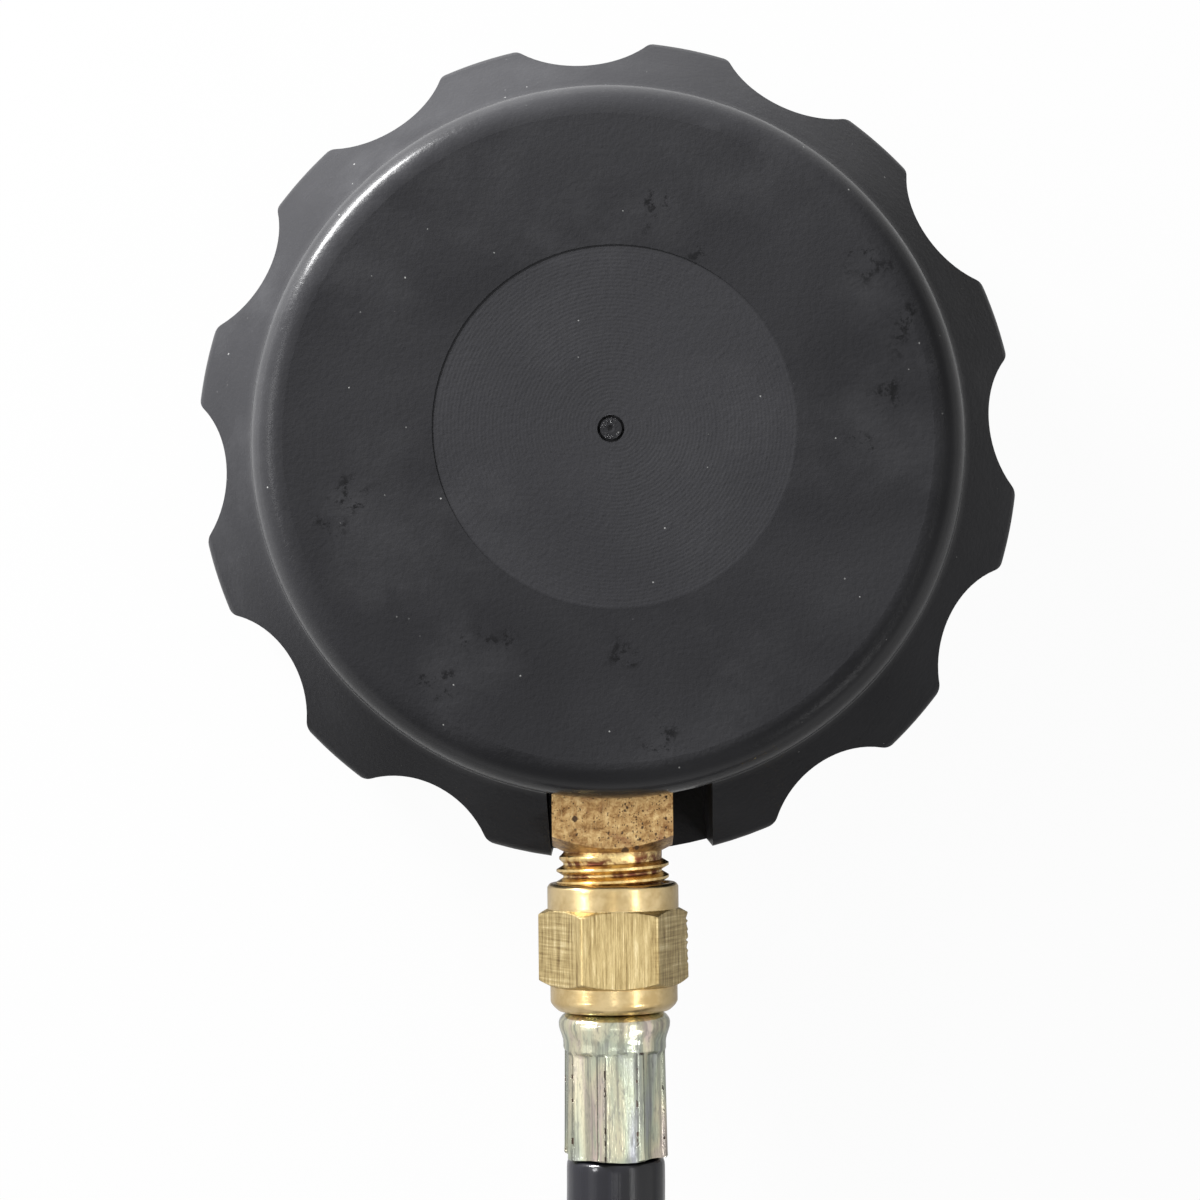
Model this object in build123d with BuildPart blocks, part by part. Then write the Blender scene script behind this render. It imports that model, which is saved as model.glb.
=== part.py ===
from build123d import *
import math
import os

# Engine oil pressure tester: a dial gauge in a scalloped rubber boot, with a union nut and a crimped hose.
# Millimetres. The gauge lies on its boot's front rim: origin at the rim's centre, +Z along the dial axis
# towards the back, and -Y along the stem towards the hose.

os.makedirs("parts", exist_ok=True)

# Clearances
running_gap = 0.05
press_gap = 0.02
seat_gap = 0.1
rubber_gap = 0.1

# Rubber boot
boot_side_wall = 4.2
grip_flare = 7.9
shoulder_r = 4.2
crease_drop = 4.6
crease_round = 0.8
skirt_drop = 14.5
skirt_round = 3.0
boot_back_wall = 2.5
boot_back_room = 1.3
lip_depth = 3.6
lip_overlap = 1.6
lip_flare = 1.2
rim_chamfer = 0.8
scallop_count = 11
scallop_step = 30.0
scallop_r = 11.5
scallop_offset = 7.2
lobe_round = 2.0
boot_turn = 2.8
slot_width = 19.8
pad_r = 21.6
pad_depth = 0.06
pad_place = (0.8, 1.2)
gate_place = (0.3, 1.0)
gate_r = 1.6
gate_groove = 0.32
gate_depth = 0.35
slot_floor = 0.4
slot_reach = 6.0

# Steel case, bezel and window
case_r = 38.4
case_wall = 0.8
case_depth = 26.0
case_corner_r = 2.0
flange_width = 1.4
bezel_wall = 0.8
bezel_lip = 4.0
window_thickness = 2.2
gasket_thickness = 1.5
gasket_width = 2.2
case_screw_r = 1.5
case_screw_head_r = 2.6
case_screw_head = 0.8
case_screw_bite = 5.0

# Brass socket with its square stem
stem_inset = 10.2
stem_square = 14.5
stem_end = 50.1
stem_chamfer = 1.4
thread_root_r = 6.0
thread_crest_r = 6.85
thread_length = 9.9
socket_grip = 4.6
tongue_width = 12.0
tongue_thickness = 4.5
tongue_reach = 9.5
stem_bore_r = 2.5
tongue_lap = 2.0
boss_r = 3.0
boss_places = [(0.0, 2.0), (0.0, -17.0)]
restrictor_depth = 1.9
restrictor_length = 3.0
restrictor_hole_r = 0.4
restrictor_slot = 0.8

# Sensing tube, coiled round the movement
tube_inset = 10.3
tube_width = 3.4
tube_height = 10.0
tube_wall = 0.45
tube_root_angle = -84.0
tube_tip_angle = 193.0
tube_slot_sweep = 20.0
tip_length = 6.4
tip_pin_angle = 199.26
tip_lug_r = 1.8
open_pivot_r = 0.6

# Movement
plate_thickness = 1.2
plate_space = 8.1
dial_to_plate = 1.8
sector_lift = 3.0
gear_module = 0.4
pinion_teeth = 10
sector_full_teeth = 90
sector_teeth = 12
sector_thickness = 1.0
pinion_length = 3.0
sector_centre_angle = 233.13
tail_arm = 9.0
tail_rest_angle = 227.4
link_thickness = 0.8
link_width = 2.0
link_eye_r = 1.7
link_to_sector = 0.6
pin_head = 0.5
pivot_r = 0.8
open_pivot_gap = 0.35
arbor_r = 0.75
collet_r = 1.3
sector_arbor_r = 0.8
sector_hub_r = 2.6
sector_window_at = 9.5
sector_window_r = 2.2
teeth_past_mesh = 1.5
tooth_thinning = 0.8
sector_root_share = 1.3
sector_tip_share = 0.6
pinion_root_share = 0.85
pinion_tip_share = 0.42
tail_width = 3.0
tail_eye_wall = 0.3
pillar_r = 1.4
free_pillar = (7.5, 5.5)
tip_pillar_inset = 7.2
tip_pillar_angle = 201.04
stem_pillar_x = 3.5
stem_pillar_gap = 4.5
plate_corner_r = 2.6
pillar_screw_r = 0.8
pillar_screw_bite = 3.0
screw_r = 1.0
screw_head_r = 1.7
screw_head = 1.0
movement_screw_bite = 3.5
movement_screw_places = [(0.0, 6.6), (-1.5, -12.0)]
hairspring_pitch = 0.8
hairspring_turns = 4
hairspring_strip = 0.2
hairspring_height = 0.6
spring_stud_r = 0.6
hairspring_lift = 0.9

# Dial and pointer
dial_gap = 0.7
dial_lift = 3.0
dial_thickness = 0.6
dial_hole_r = 2.2
dial_screw_places = [(6.5, 0.5), (-10.5, -4.5)]
dial_post_r = 1.8
dial_screw_r = 0.8
dial_screw_head = 0.7
pointer_length = 27.0
pointer_tail = 10.0
pointer_half_width = 1.3
pointer_thickness = 0.5
pointer_tail_r = 2.4
pointer_zero_angle = -45.0
hub_r = 3.2
hub_cap = 1.0
hub_sleeve_r = 1.5
hub_sleeve = 1.2
dial_to_pointer = 1.8
stop_pin_r = 0.5
stop_pin_place_r = 20.0

# Union nut
nut_standoff = 3.1
nut_size = 16.0
nut_collar = 3.0
nut_hex = 9.4
nut_rear_collar = 2.1
nut_rear_collar_r = 7.75
nut_rear_cone = 1.0
nut_rear_r = 6.85
nut_turn = -5.3
nut_chamfer = 0.5
chamfer_slope = 0.5

# Hose ends
washer_thickness = 1.2
nipple_flange = 2.5
nipple_flange_r = 6.3
nipple_r = 4.2
barb_r = 3.3
barb_bite = 0.25
barb_inset = 1.2
barb_count = 4
oil_way_r = 1.6
ferrule_length = 17.6
ferrule_r = 6.8
ferrule_bulge = 2.6
ferrule_neck_r = 6.25
ferrule_mouth_r = 6.45
ferrule_top_r = 5.6
ferrule_top = 2.4
ferrule_flat = 5.85
ferrule_flat_width = 4.0
ferrule_flat_start = 4.6
ferrule_neck = 1.2
ferrule_flats = 8
ferrule_turn = 61.0

# Hose and its coil
hose_r = 6.0
hose_crimped_r = 5.2
hose_corners = [(0.0, 21.0), (-5.8, 41.2), (-16.9, 59.0), (-28.0, 76.8)]
bend_share = 0.45
coil_r = 60.0
coil_low = 7.0
coil_high = 20.8
coil_top_sweep = 207.0
coil_drop_sweep = 180.0
coil_low_sweep = 185.0
tie_width = 6.0
tie_wall = 0.9
tie_angle = 255.0
tie_latch = 4.5

# Engine-end fitting
fitting_hex = 14.0
fitting_hex_length = 9.0
fitting_collar = 2.0
fitting_collar_r = 6.0
fitting_thread_r = 4.95
fitting_thread = 10.0
fitting_chamfer = 0.9
fitting_turn = 30.0

# Radii that follow the case
back_disc_r = case_r + boot_side_wall
grip_r = back_disc_r + grip_flare
scallop_centre_r = grip_r + scallop_offset
lip_opening_r = case_r - lip_overlap
dial_r = case_r - case_wall - dial_gap
tube_r = case_r - tube_inset
socket_inner = tube_r - socket_grip
window_r = case_r + flange_width - seat_gap
bezel_r = case_r + flange_width + running_gap + bezel_wall
slot_outer_r = grip_r + slot_reach

# Levels on the dial axis, from the rim up
bezel_z = lip_depth + rubber_gap
window_z = bezel_z + bezel_wall
gasket_z = window_z + window_thickness
case_z = gasket_z + gasket_thickness
case_back_z = case_z + case_depth
curl_z = case_z + case_wall + seat_gap
bezel_top_z = curl_z + bezel_wall
dial_z = case_z + dial_lift
plate_front_z = dial_z + dial_thickness + dial_to_plate
plate_inner_z = plate_front_z + plate_thickness
plate_back_z = plate_inner_z + plate_space
tongue_z = plate_back_z + plate_thickness
sector_z = plate_inner_z + sector_lift
pinion_z = sector_z - (pinion_length - sector_thickness) / 2
link_z = sector_z - link_thickness - link_to_sector
tip_lug_z = link_z + link_thickness + 3 * seat_gap
tube_z = tip_lug_z + tube_height / 2
stem_z = case_back_z - stem_inset
pointer_z = dial_z - dial_to_pointer - pointer_thickness
hairspring_z = pinion_z + pinion_length + hairspring_lift
cavity_z = case_back_z + boot_back_room
boot_depth = cavity_z + boot_back_wall
crease_z = boot_depth - crease_drop
skirt_z = boot_depth - skirt_drop
slot_floor_z = lip_depth + slot_floor

# Stations along the stem, counted from the dial axis
thread_end = stem_end + thread_length
restrictor_start = stem_end + restrictor_depth
nut_start = stem_end + nut_standoff
nut_hex_start = nut_start + nut_collar
nut_hex_end = nut_hex_start + nut_hex
nut_end = nut_hex_end + nut_rear_collar + nut_rear_cone
flange_start = thread_end + washer_thickness
flange_end = flange_start + nipple_flange
nut_face = flange_end + 2 * seat_gap
ferrule_start = nut_end + running_gap
ferrule_end = ferrule_start + ferrule_length
barb_length = ferrule_length - ferrule_top - barb_inset

# Gear train
pinion_pitch_r = gear_module * pinion_teeth / 2
sector_pitch_r = gear_module * sector_full_teeth / 2
centre_distance = pinion_pitch_r + sector_pitch_r

# Hairspring, from its collet to its stud
hairspring_inner_r = collet_r + seat_gap + hairspring_pitch / 4 + hairspring_strip / 2
hairspring_end_x = hairspring_inner_r + hairspring_pitch * (hairspring_turns - 0.25)


def polar(radius, angle, centre=(0, 0)):
    """The point at a radius and an angle in degrees round a centre."""
    turn = math.radians(angle)
    return (centre[0] + radius * math.cos(turn), centre[1] + radius * math.sin(turn))


def radial_plane(angle, centre=(0, 0)):
    """An upright plane through the axis at centre: x runs outwards at the angle, y runs up."""
    turn = math.radians(angle)
    return Plane(
        origin=(centre[0], centre[1], 0),
        x_dir=(math.cos(turn), math.sin(turn), 0),
        z_dir=(math.sin(turn), -math.cos(turn), 0),
    )


def save(piece, name):
    """Label a finished piece and write it under its own name."""
    piece.part.label = name
    export_step(piece.part, f"parts/{name}.step")


sector_pivot = polar(centre_distance, sector_centre_angle)
tail_pin = polar(tail_arm, tail_rest_angle, sector_pivot)
tip_pin = polar(tube_r, tip_pin_angle)
pillar_places = [
    free_pillar,
    polar(tube_r - tip_pillar_inset, tip_pillar_angle),
    (stem_pillar_x, stem_pillar_gap - socket_inner),
]

stem_axis = Axis((0, 0, stem_z), (0, -1, 0))
stem_section = Plane(origin=(0, 0, stem_z), x_dir=(1, 0, 0), z_dir=(0, 0, -1))


def stem_plane(station):
    """The plane across the stem at a station, its x to the right and its y up, facing the hose."""
    return Plane(origin=(0, -station, stem_z), x_dir=(1, 0, 0), z_dir=(0, -1, 0))


slot_angle = -90 + boot_turn
blade_half_width = pointer_half_width * (1 - stop_pin_place_r / pointer_length)
stop_pin_turn = math.degrees((blade_half_width + stop_pin_r + seat_gap) / stop_pin_place_r)
stop_pin_place = polar(stop_pin_place_r, pointer_zero_angle - stop_pin_turn)

# Boot: one moulding, a turned form cut by the finger scallops and slotted for the stem
with BuildPart() as boot:
    with BuildSketch(Plane.XZ) as boot_section:
        with BuildLine():
            Polyline(
                (0, 0),
                (0, boot_depth),
                (back_disc_r, boot_depth),
                (back_disc_r, crease_z),
                (grip_r, skirt_z),
                (grip_r, rim_chamfer),
                (grip_r - rim_chamfer, 0),
                (0, 0),
            )
        make_face()
        shoulder = boot_section.vertices().sort_by_distance((back_disc_r, boot_depth))[0]
        fillet(shoulder, shoulder_r)
        crease = boot_section.vertices().sort_by_distance((back_disc_r, crease_z))[0]
        fillet(crease, crease_round)
        skirt_corner = boot_section.vertices().sort_by_distance((grip_r, skirt_z))[0]
        fillet(skirt_corner, skirt_round)
    revolve(axis=Axis.Z)
    with BuildSketch() as grip_outline:
        Circle(grip_r)
        with PolarLocations(
            scallop_centre_r,
            scallop_count,
            start_angle=slot_angle + scallop_step,
            angular_range=(scallop_count - 1) * scallop_step,
            endpoint=True,
        ):
            Circle(scallop_r, mode=Mode.SUBTRACT)
        fillet(grip_outline.vertices(), lobe_round)
    extrude(amount=boot_depth, mode=Mode.INTERSECT)
    with BuildSketch(Plane.XZ):
        with BuildLine():
            Polyline(
                (0, 0),
                (lip_opening_r + lip_flare, 0),
                (lip_opening_r, lip_depth),
                (bezel_r + rubber_gap, lip_depth),
                (bezel_r + rubber_gap, bezel_top_z + rubber_gap),
                (case_r + rubber_gap, bezel_top_z + rubber_gap),
                (case_r + rubber_gap, cavity_z),
                (0, cavity_z),
                (0, 0),
            )
        make_face()
    revolve(axis=Axis.Z, mode=Mode.SUBTRACT)
    with BuildSketch(Plane.XY.offset(slot_floor_z)):
        with PolarLocations((lip_opening_r + slot_outer_r) / 2, 1, start_angle=slot_angle):
            Rectangle(slot_outer_r - lip_opening_r, slot_width)
    extrude(amount=crease_z - slot_floor_z, mode=Mode.SUBTRACT)
    with BuildSketch(Plane.XY.offset(boot_depth)):
        with Locations(pad_place):
            Circle(pad_r)
    extrude(amount=-pad_depth, mode=Mode.SUBTRACT)
    with BuildSketch(Plane.XY.offset(boot_depth - pad_depth)):
        with Locations(gate_place):
            Circle(gate_r)
            Circle(gate_r - gate_groove, mode=Mode.SUBTRACT)
    extrude(amount=-gate_depth, mode=Mode.SUBTRACT)
save(boot, "boot")

# Case: drawn steel can, open at the front, with a flange, a stem hole and two screw holes
with BuildPart() as case:
    with BuildSketch(Plane.XY.offset(case_z)):
        Circle(case_r)
    extrude(amount=case_depth)
    fillet(case.faces().sort_by(Axis.Z)[-1].edges(), case_corner_r)
    offset(amount=-case_wall, openings=case.faces().sort_by(Axis.Z)[0])
    with BuildSketch(Plane.XY.offset(case_z)):
        Circle(case_r + flange_width)
        Circle(case_r - case_wall, mode=Mode.SUBTRACT)
    extrude(amount=case_wall)
    with BuildSketch(stem_plane(socket_inner)):
        Rectangle(stem_square + 2 * seat_gap, stem_square + 2 * seat_gap)
    extrude(amount=case_r, mode=Mode.SUBTRACT)
    with BuildSketch(Plane.XY.offset(case_back_z)):
        with Locations(*boss_places):
            Circle(case_screw_r + running_gap)
    extrude(amount=-2 * case_wall, mode=Mode.SUBTRACT)
save(case, "case")

# Bezel: a rolled ring that holds window, gasket and case flange together
with BuildPart() as bezel:
    with BuildSketch(Plane.XZ):
        with BuildLine():
            Polyline(
                (bezel_r - bezel_lip, bezel_z),
                (bezel_r, bezel_z),
                (bezel_r, bezel_top_z),
                (case_r + seat_gap, bezel_top_z),
                (case_r + seat_gap, curl_z),
                (bezel_r - bezel_wall, curl_z),
                (bezel_r - bezel_wall, window_z),
                (bezel_r - bezel_lip, window_z),
                (bezel_r - bezel_lip, bezel_z),
            )
        make_face()
    revolve(axis=Axis.Z)
save(bezel, "bezel")

# Window and its gasket
with BuildPart() as window:
    with BuildSketch(Plane.XY.offset(window_z)):
        Circle(window_r)
    extrude(amount=window_thickness)
save(window, "window")

with BuildPart() as gasket:
    with BuildSketch(Plane.XY.offset(gasket_z)):
        Circle(window_r)
        Circle(window_r - gasket_width, mode=Mode.SUBTRACT)
    extrude(amount=gasket_thickness)
save(gasket, "window_gasket")

# Socket: one brass forging with the square stem, the thread's core, the tube's slot and the tongue
# that carries the movement
with BuildPart() as socket:
    with BuildSketch(stem_plane(socket_inner)):
        Rectangle(stem_square, stem_square)
    extrude(amount=stem_end - socket_inner)
    with BuildSketch(stem_section):
        with BuildLine():
            Polyline(
                (0, socket_inner),
                (stem_square, socket_inner),
                (stem_square, stem_end - stem_chamfer - stem_square / 2 * chamfer_slope),
                (stem_square / 2, stem_end - stem_chamfer),
                (stem_square / 2 - stem_chamfer / chamfer_slope, stem_end),
                (0, stem_end),
                (0, socket_inner),
            )
        make_face()
    revolve(axis=stem_axis, mode=Mode.INTERSECT)
    with BuildSketch(stem_plane(stem_end)):
        Circle(thread_root_r)
    extrude(amount=thread_end - stem_end)
    with BuildSketch(Plane.XY.offset(tongue_z)):
        with Locations((0, (tongue_reach - socket_inner - tongue_lap) / 2)):
            Rectangle(tongue_width, tongue_reach + socket_inner + tongue_lap)
    extrude(amount=tongue_thickness)
    with BuildSketch(Plane.XY.offset(tongue_z + tongue_thickness)):
        with Locations(*boss_places):
            Circle(boss_r)
    extrude(amount=case_back_z - case_wall - tongue_z - tongue_thickness)
    with BuildSketch(Plane.XY.offset(case_back_z - case_wall)):
        with Locations(*boss_places):
            Circle(case_screw_r + running_gap)
    extrude(amount=-case_screw_bite, mode=Mode.SUBTRACT)
    with BuildSketch(Plane.XY.offset(tongue_z)):
        with Locations(*movement_screw_places):
            Circle(screw_r + running_gap)
    extrude(amount=movement_screw_bite, mode=Mode.SUBTRACT)
    with BuildSketch(radial_plane(tube_root_angle)):
        with Locations((tube_r, tube_z)):
            Rectangle(tube_width + 2 * running_gap, tube_height + 2 * running_gap)
    revolve(axis=Axis.Z, revolution_arc=tube_slot_sweep, mode=Mode.SUBTRACT)
    with BuildSketch(Plane(origin=(0, -thread_end, stem_z), x_dir=(1, 0, 0), z_dir=(0, 1, 0))):
        Circle(stem_bore_r)
    extrude(amount=thread_end - tube_r, mode=Mode.SUBTRACT)
save(socket, "socket")

# Restrictor: slotted brass screw with a pin-hole, set in the stem's bore to steady the pointer
with BuildPart() as restrictor:
    with BuildSketch(stem_plane(restrictor_start)):
        Circle(stem_bore_r - running_gap)
        Circle(restrictor_hole_r, mode=Mode.SUBTRACT)
    extrude(amount=restrictor_length)
    with BuildSketch(
        Plane(origin=(0, -restrictor_start - restrictor_length, stem_z), x_dir=(1, 0, 0), z_dir=(0, 1, 0))
    ):
        Rectangle(2 * stem_bore_r, restrictor_slot)
    extrude(amount=restrictor_slot, mode=Mode.SUBTRACT)
save(restrictor, "restrictor_screw")

# Sensing tube: flattened bronze tube bent to a C, open into the socket and closed by the tip
with BuildPart() as sensing_tube:
    with BuildSketch(radial_plane(tube_root_angle)):
        with Locations((tube_r, tube_z)):
            SlotOverall(tube_height, tube_width, rotation=90)
            SlotOverall(
                tube_height - 2 * tube_wall, tube_width - 2 * tube_wall, rotation=90, mode=Mode.SUBTRACT
            )
    revolve(axis=Axis.Z, revolution_arc=tube_tip_angle - tube_root_angle)
save(sensing_tube, "sensing_tube")

# Tube tip: brass plug on the tube's end, with a lug over the link and the link's pin
with BuildPart() as tube_tip:
    with BuildSketch(radial_plane(tube_tip_angle)):
        with Locations((tube_r, tube_z)):
            Rectangle(tube_width, tube_height)
    revolve(axis=Axis.Z, revolution_arc=math.degrees(tip_length / tube_r))
    with BuildSketch(Plane.XY.offset(tip_lug_z)):
        with Locations(tip_pin):
            Circle(tip_lug_r)
    extrude(amount=tube_z + tube_height / 2 - tip_lug_z)
    with BuildSketch(Plane.XY.offset(link_z - seat_gap)):
        with Locations(tip_pin):
            Circle(open_pivot_r)
    extrude(amount=tip_lug_z - link_z + 2 * seat_gap)
save(tube_tip, "tube_tip")

# Link: flat strip between the tube's tip and the sector's tail
with BuildPart() as link:
    with BuildSketch(Plane.XY.offset(link_z)):
        with BuildLine():
            Line(tail_pin, tip_pin)
        trace(line_width=link_width)
        with Locations(tail_pin, tip_pin):
            Circle(link_eye_r)
        with Locations(tail_pin):
            Circle(pivot_r + running_gap, mode=Mode.SUBTRACT)
        with Locations(tip_pin):
            Circle(open_pivot_r + open_pivot_gap, mode=Mode.SUBTRACT)
    extrude(amount=link_thickness)
save(link, "link")

# Link pin: shouldered pin riveted in the sector's tail
with BuildPart() as link_pin:
    with BuildSketch(Plane.XY.offset(link_z - seat_gap - pin_head)):
        with Locations(tail_pin):
            Circle(link_eye_r - seat_gap)
    extrude(amount=pin_head)
    with BuildSketch(Plane.XY.offset(link_z - seat_gap)):
        with Locations(tail_pin):
            Circle(pivot_r)
    extrude(amount=sector_z + sector_thickness - link_z + seat_gap)
save(link_pin, "link_pin")


def tooth(pitch_r, teeth, root_share, tip_share):
    """One gear tooth along +X as a closed outline, its root and tip widths as shares of the pitch width."""
    half = math.pi * pitch_r / teeth / 2 * tooth_thinning
    root_r = pitch_r - 1.25 * gear_module
    tip_r = pitch_r + gear_module
    return [
        (root_r - 0.5 * gear_module, -half * root_share),
        (root_r, -half * root_share),
        (pitch_r, -half),
        (tip_r, -half * tip_share),
        (tip_r, half * tip_share),
        (pitch_r, half),
        (root_r, half * root_share),
        (root_r - 0.5 * gear_module, half * root_share),
    ]


# Sector gear: stamped brass plate with a toothed rim, a hub, a window and a tail for the link
mesh_angle = math.degrees(math.atan2(-sector_pivot[1], -sector_pivot[0]))
tooth_step = 360 / sector_full_teeth
first_tooth = mesh_angle - teeth_past_mesh * tooth_step
last_tooth = first_tooth + (sector_teeth - 1) * tooth_step
sector_root_r = sector_pitch_r - 1.25 * gear_module
sector_tooth = tooth(sector_pitch_r, sector_full_teeth, sector_root_share, sector_tip_share)
with BuildPart() as sector_gear:
    with BuildSketch(Plane.XY.offset(sector_z)):
        with BuildLine():
            rim_start = polar(sector_root_r, first_tooth - tooth_step / 2, sector_pivot)
            rim_end = polar(sector_root_r, last_tooth + tooth_step / 2, sector_pivot)
            rim_middle = polar(sector_root_r, (first_tooth + last_tooth) / 2, sector_pivot)
            ThreePointArc(rim_start, rim_middle, rim_end)
            Polyline(rim_end, sector_pivot, rim_start)
        make_face()
        with Locations(sector_pivot):
            Circle(sector_hub_r)
            with PolarLocations(0, sector_teeth, first_tooth, last_tooth - first_tooth, endpoint=True):
                Polygon(*sector_tooth, align=None)
        with Locations(tail_pin):
            Circle(link_eye_r + tail_eye_wall)
        with Locations(polar(sector_window_at, (first_tooth + last_tooth) / 2, sector_pivot)):
            Circle(sector_window_r, mode=Mode.SUBTRACT)
    extrude(amount=sector_thickness)
    with BuildSketch(Plane.XY.offset(sector_z)):
        with BuildLine():
            Line(sector_pivot, tail_pin)
        trace(line_width=tail_width)
    extrude(amount=sector_thickness)
    with BuildSketch(Plane.XY.offset(sector_z)):
        with Locations(sector_pivot):
            Circle(sector_arbor_r + press_gap)
        with Locations(tail_pin):
            Circle(pivot_r + press_gap)
    extrude(amount=sector_thickness, mode=Mode.SUBTRACT)
save(sector_gear, "sector_gear")

with BuildPart() as sector_arbor:
    with BuildSketch(Plane.XY.offset(plate_front_z)):
        with Locations(sector_pivot):
            Circle(sector_arbor_r)
    extrude(amount=tongue_z - seat_gap - plate_front_z)
save(sector_arbor, "sector_arbor")

# Pinion arbor: steel shaft with the ten-tooth pinion cut in it
pinion_tooth = tooth(pinion_pitch_r, pinion_teeth, pinion_root_share, pinion_tip_share)
with BuildPart() as pinion:
    with BuildSketch(Plane.XY.offset(pointer_z)):
        Circle(arbor_r)
    extrude(amount=tongue_z - seat_gap - pointer_z)
    with BuildSketch(Plane.XY.offset(pinion_z)):
        Circle(pinion_pitch_r - 1.25 * gear_module)
        with PolarLocations(0, pinion_teeth, start_angle=mesh_angle + 180):
            Polygon(*pinion_tooth, align=None)
    extrude(amount=pinion_length)
    with BuildSketch(Plane.XY.offset(hairspring_z - seat_gap)):
        Circle(collet_r)
    extrude(amount=hairspring_height + 2 * seat_gap)
save(pinion, "pinion_arbor")

# Hairspring: flat bronze spiral that takes up the gears' play, its outer end on a stud on the back plate
with BuildPart() as hairspring:
    with BuildSketch(Plane.XY.offset(hairspring_z)) as spring_sketch:
        with BuildLine() as spiral:
            for half in range(2 * hairspring_turns):
                side = 1 if half % 2 == 0 else -1
                CenterArc(
                    (-side * hairspring_pitch / 4, 0),
                    hairspring_inner_r + hairspring_pitch / 2 * half,
                    0 if side > 0 else 180,
                    180,
                )
        trace(line_width=hairspring_strip)
    extrude(amount=hairspring_height)
save(hairspring, "hairspring")

# Movement plates: two brass plates of one outline, held apart by three pillars
for plate_name, level in (("movement_front_plate", plate_front_z), ("movement_back_plate", plate_back_z)):
    with BuildPart() as plate:
        with BuildSketch(Plane.XY.offset(level)):
            with Locations((0, 0), sector_pivot, *pillar_places):
                Circle(plate_corner_r)
            make_hull()
            with Locations((0, 0)):
                Circle(arbor_r + running_gap, mode=Mode.SUBTRACT)
            with Locations(sector_pivot):
                Circle(sector_arbor_r + running_gap, mode=Mode.SUBTRACT)
            with Locations(*pillar_places):
                Circle(pillar_screw_r + running_gap, mode=Mode.SUBTRACT)
            if level == plate_back_z:
                with Locations(*movement_screw_places):
                    Circle(screw_r + running_gap, mode=Mode.SUBTRACT)
        extrude(amount=plate_thickness)
        if level == plate_front_z:
            with BuildSketch(Plane.XY.offset(level)):
                with Locations(*dial_screw_places):
                    Circle(dial_post_r)
            extrude(amount=-dial_to_plate)
            with BuildSketch(Plane.XY.offset(level - dial_to_plate)):
                with Locations(*dial_screw_places):
                    Circle(dial_screw_r + running_gap)
            extrude(amount=dial_to_plate, mode=Mode.SUBTRACT)
        else:
            with BuildSketch(Plane.XY.offset(level)):
                with Locations((hairspring_end_x + spring_stud_r + seat_gap, 0)):
                    Circle(spring_stud_r)
            extrude(amount=hairspring_z - level)
    save(plate, plate_name)

with BuildPart() as pillars:
    with BuildSketch(Plane.XY.offset(plate_inner_z)):
        with Locations(*pillar_places):
            Circle(pillar_r)
    extrude(amount=plate_space)
    with BuildSketch(Plane.XY.offset(plate_inner_z)):
        with Locations(*pillar_places):
            Circle(pillar_screw_r + running_gap)
    extrude(amount=pillar_screw_bite, mode=Mode.SUBTRACT)
    with BuildSketch(Plane.XY.offset(plate_back_z)):
        with Locations(*pillar_places):
            Circle(pillar_screw_r)
    extrude(amount=plate_thickness)
save(pillars, "movement_pillars")


def slotted_screw(head_plane, places, head_radius, head_height, shank_radius, shank_length):
    """Cheese-head screws whose heads stand out of head_plane and whose shanks run the other way."""
    with BuildPart() as screw:
        with BuildSketch(head_plane):
            with Locations(*places):
                Circle(head_radius)
        extrude(amount=head_height)
        with BuildSketch(head_plane):
            with Locations(*places):
                Circle(shank_radius)
        extrude(amount=-shank_length)
        with BuildSketch(head_plane.offset(head_height)):
            with Locations(*places):
                Rectangle(2 * head_radius, head_radius / 3)
        extrude(amount=-head_height / 2, mode=Mode.SUBTRACT)
    return screw


facing_front = Plane(origin=(0, 0, 0), x_dir=(1, 0, 0), z_dir=(0, 0, -1))


def mirrored(places):
    """The same places in a plane that faces the front, whose y runs down."""
    return [(x, -y) for x, y in places]


# Screws: pillars to front plate, back plate to tongue, dial to posts, case to tongue
pillar_screws = slotted_screw(
    facing_front.offset(-plate_front_z),
    mirrored(pillar_places),
    screw_head_r,
    screw_head,
    pillar_screw_r,
    plate_thickness + pillar_screw_bite - seat_gap,
)
save(pillar_screws, "pillar_screws")

movement_screws = slotted_screw(
    facing_front.offset(-plate_back_z),
    mirrored(movement_screw_places),
    screw_head_r,
    screw_head,
    screw_r,
    plate_thickness + movement_screw_bite - seat_gap,
)
save(movement_screws, "movement_screws")

dial_screws = slotted_screw(
    facing_front.offset(-dial_z),
    mirrored(dial_screw_places),
    screw_head_r,
    dial_screw_head,
    dial_screw_r,
    dial_thickness + dial_to_plate - seat_gap,
)
save(dial_screws, "dial_screws")

case_screws = slotted_screw(
    Plane.XY.offset(case_back_z),
    boss_places,
    case_screw_head_r,
    case_screw_head,
    case_screw_r,
    case_wall + case_screw_bite - seat_gap,
)
save(case_screws, "case_screws")

# Dial: white sheet disc with the arbor's hole, two screw holes and the zero stop's hole
with BuildPart() as dial:
    with BuildSketch(Plane.XY.offset(dial_z)):
        Circle(dial_r)
        Circle(dial_hole_r, mode=Mode.SUBTRACT)
        with Locations(*dial_screw_places):
            Circle(dial_screw_r + running_gap, mode=Mode.SUBTRACT)
        with Locations(stop_pin_place):
            Circle(stop_pin_r + press_gap, mode=Mode.SUBTRACT)
    extrude(amount=dial_thickness)
save(dial, "dial")

with BuildPart() as stop_pin:
    with BuildSketch(Plane.XY.offset(dial_z + dial_thickness)):
        with Locations(stop_pin_place):
            Circle(stop_pin_r)
    extrude(amount=-dial_thickness - dial_to_pointer - pointer_thickness)
save(stop_pin, "zero_stop_pin")

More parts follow.
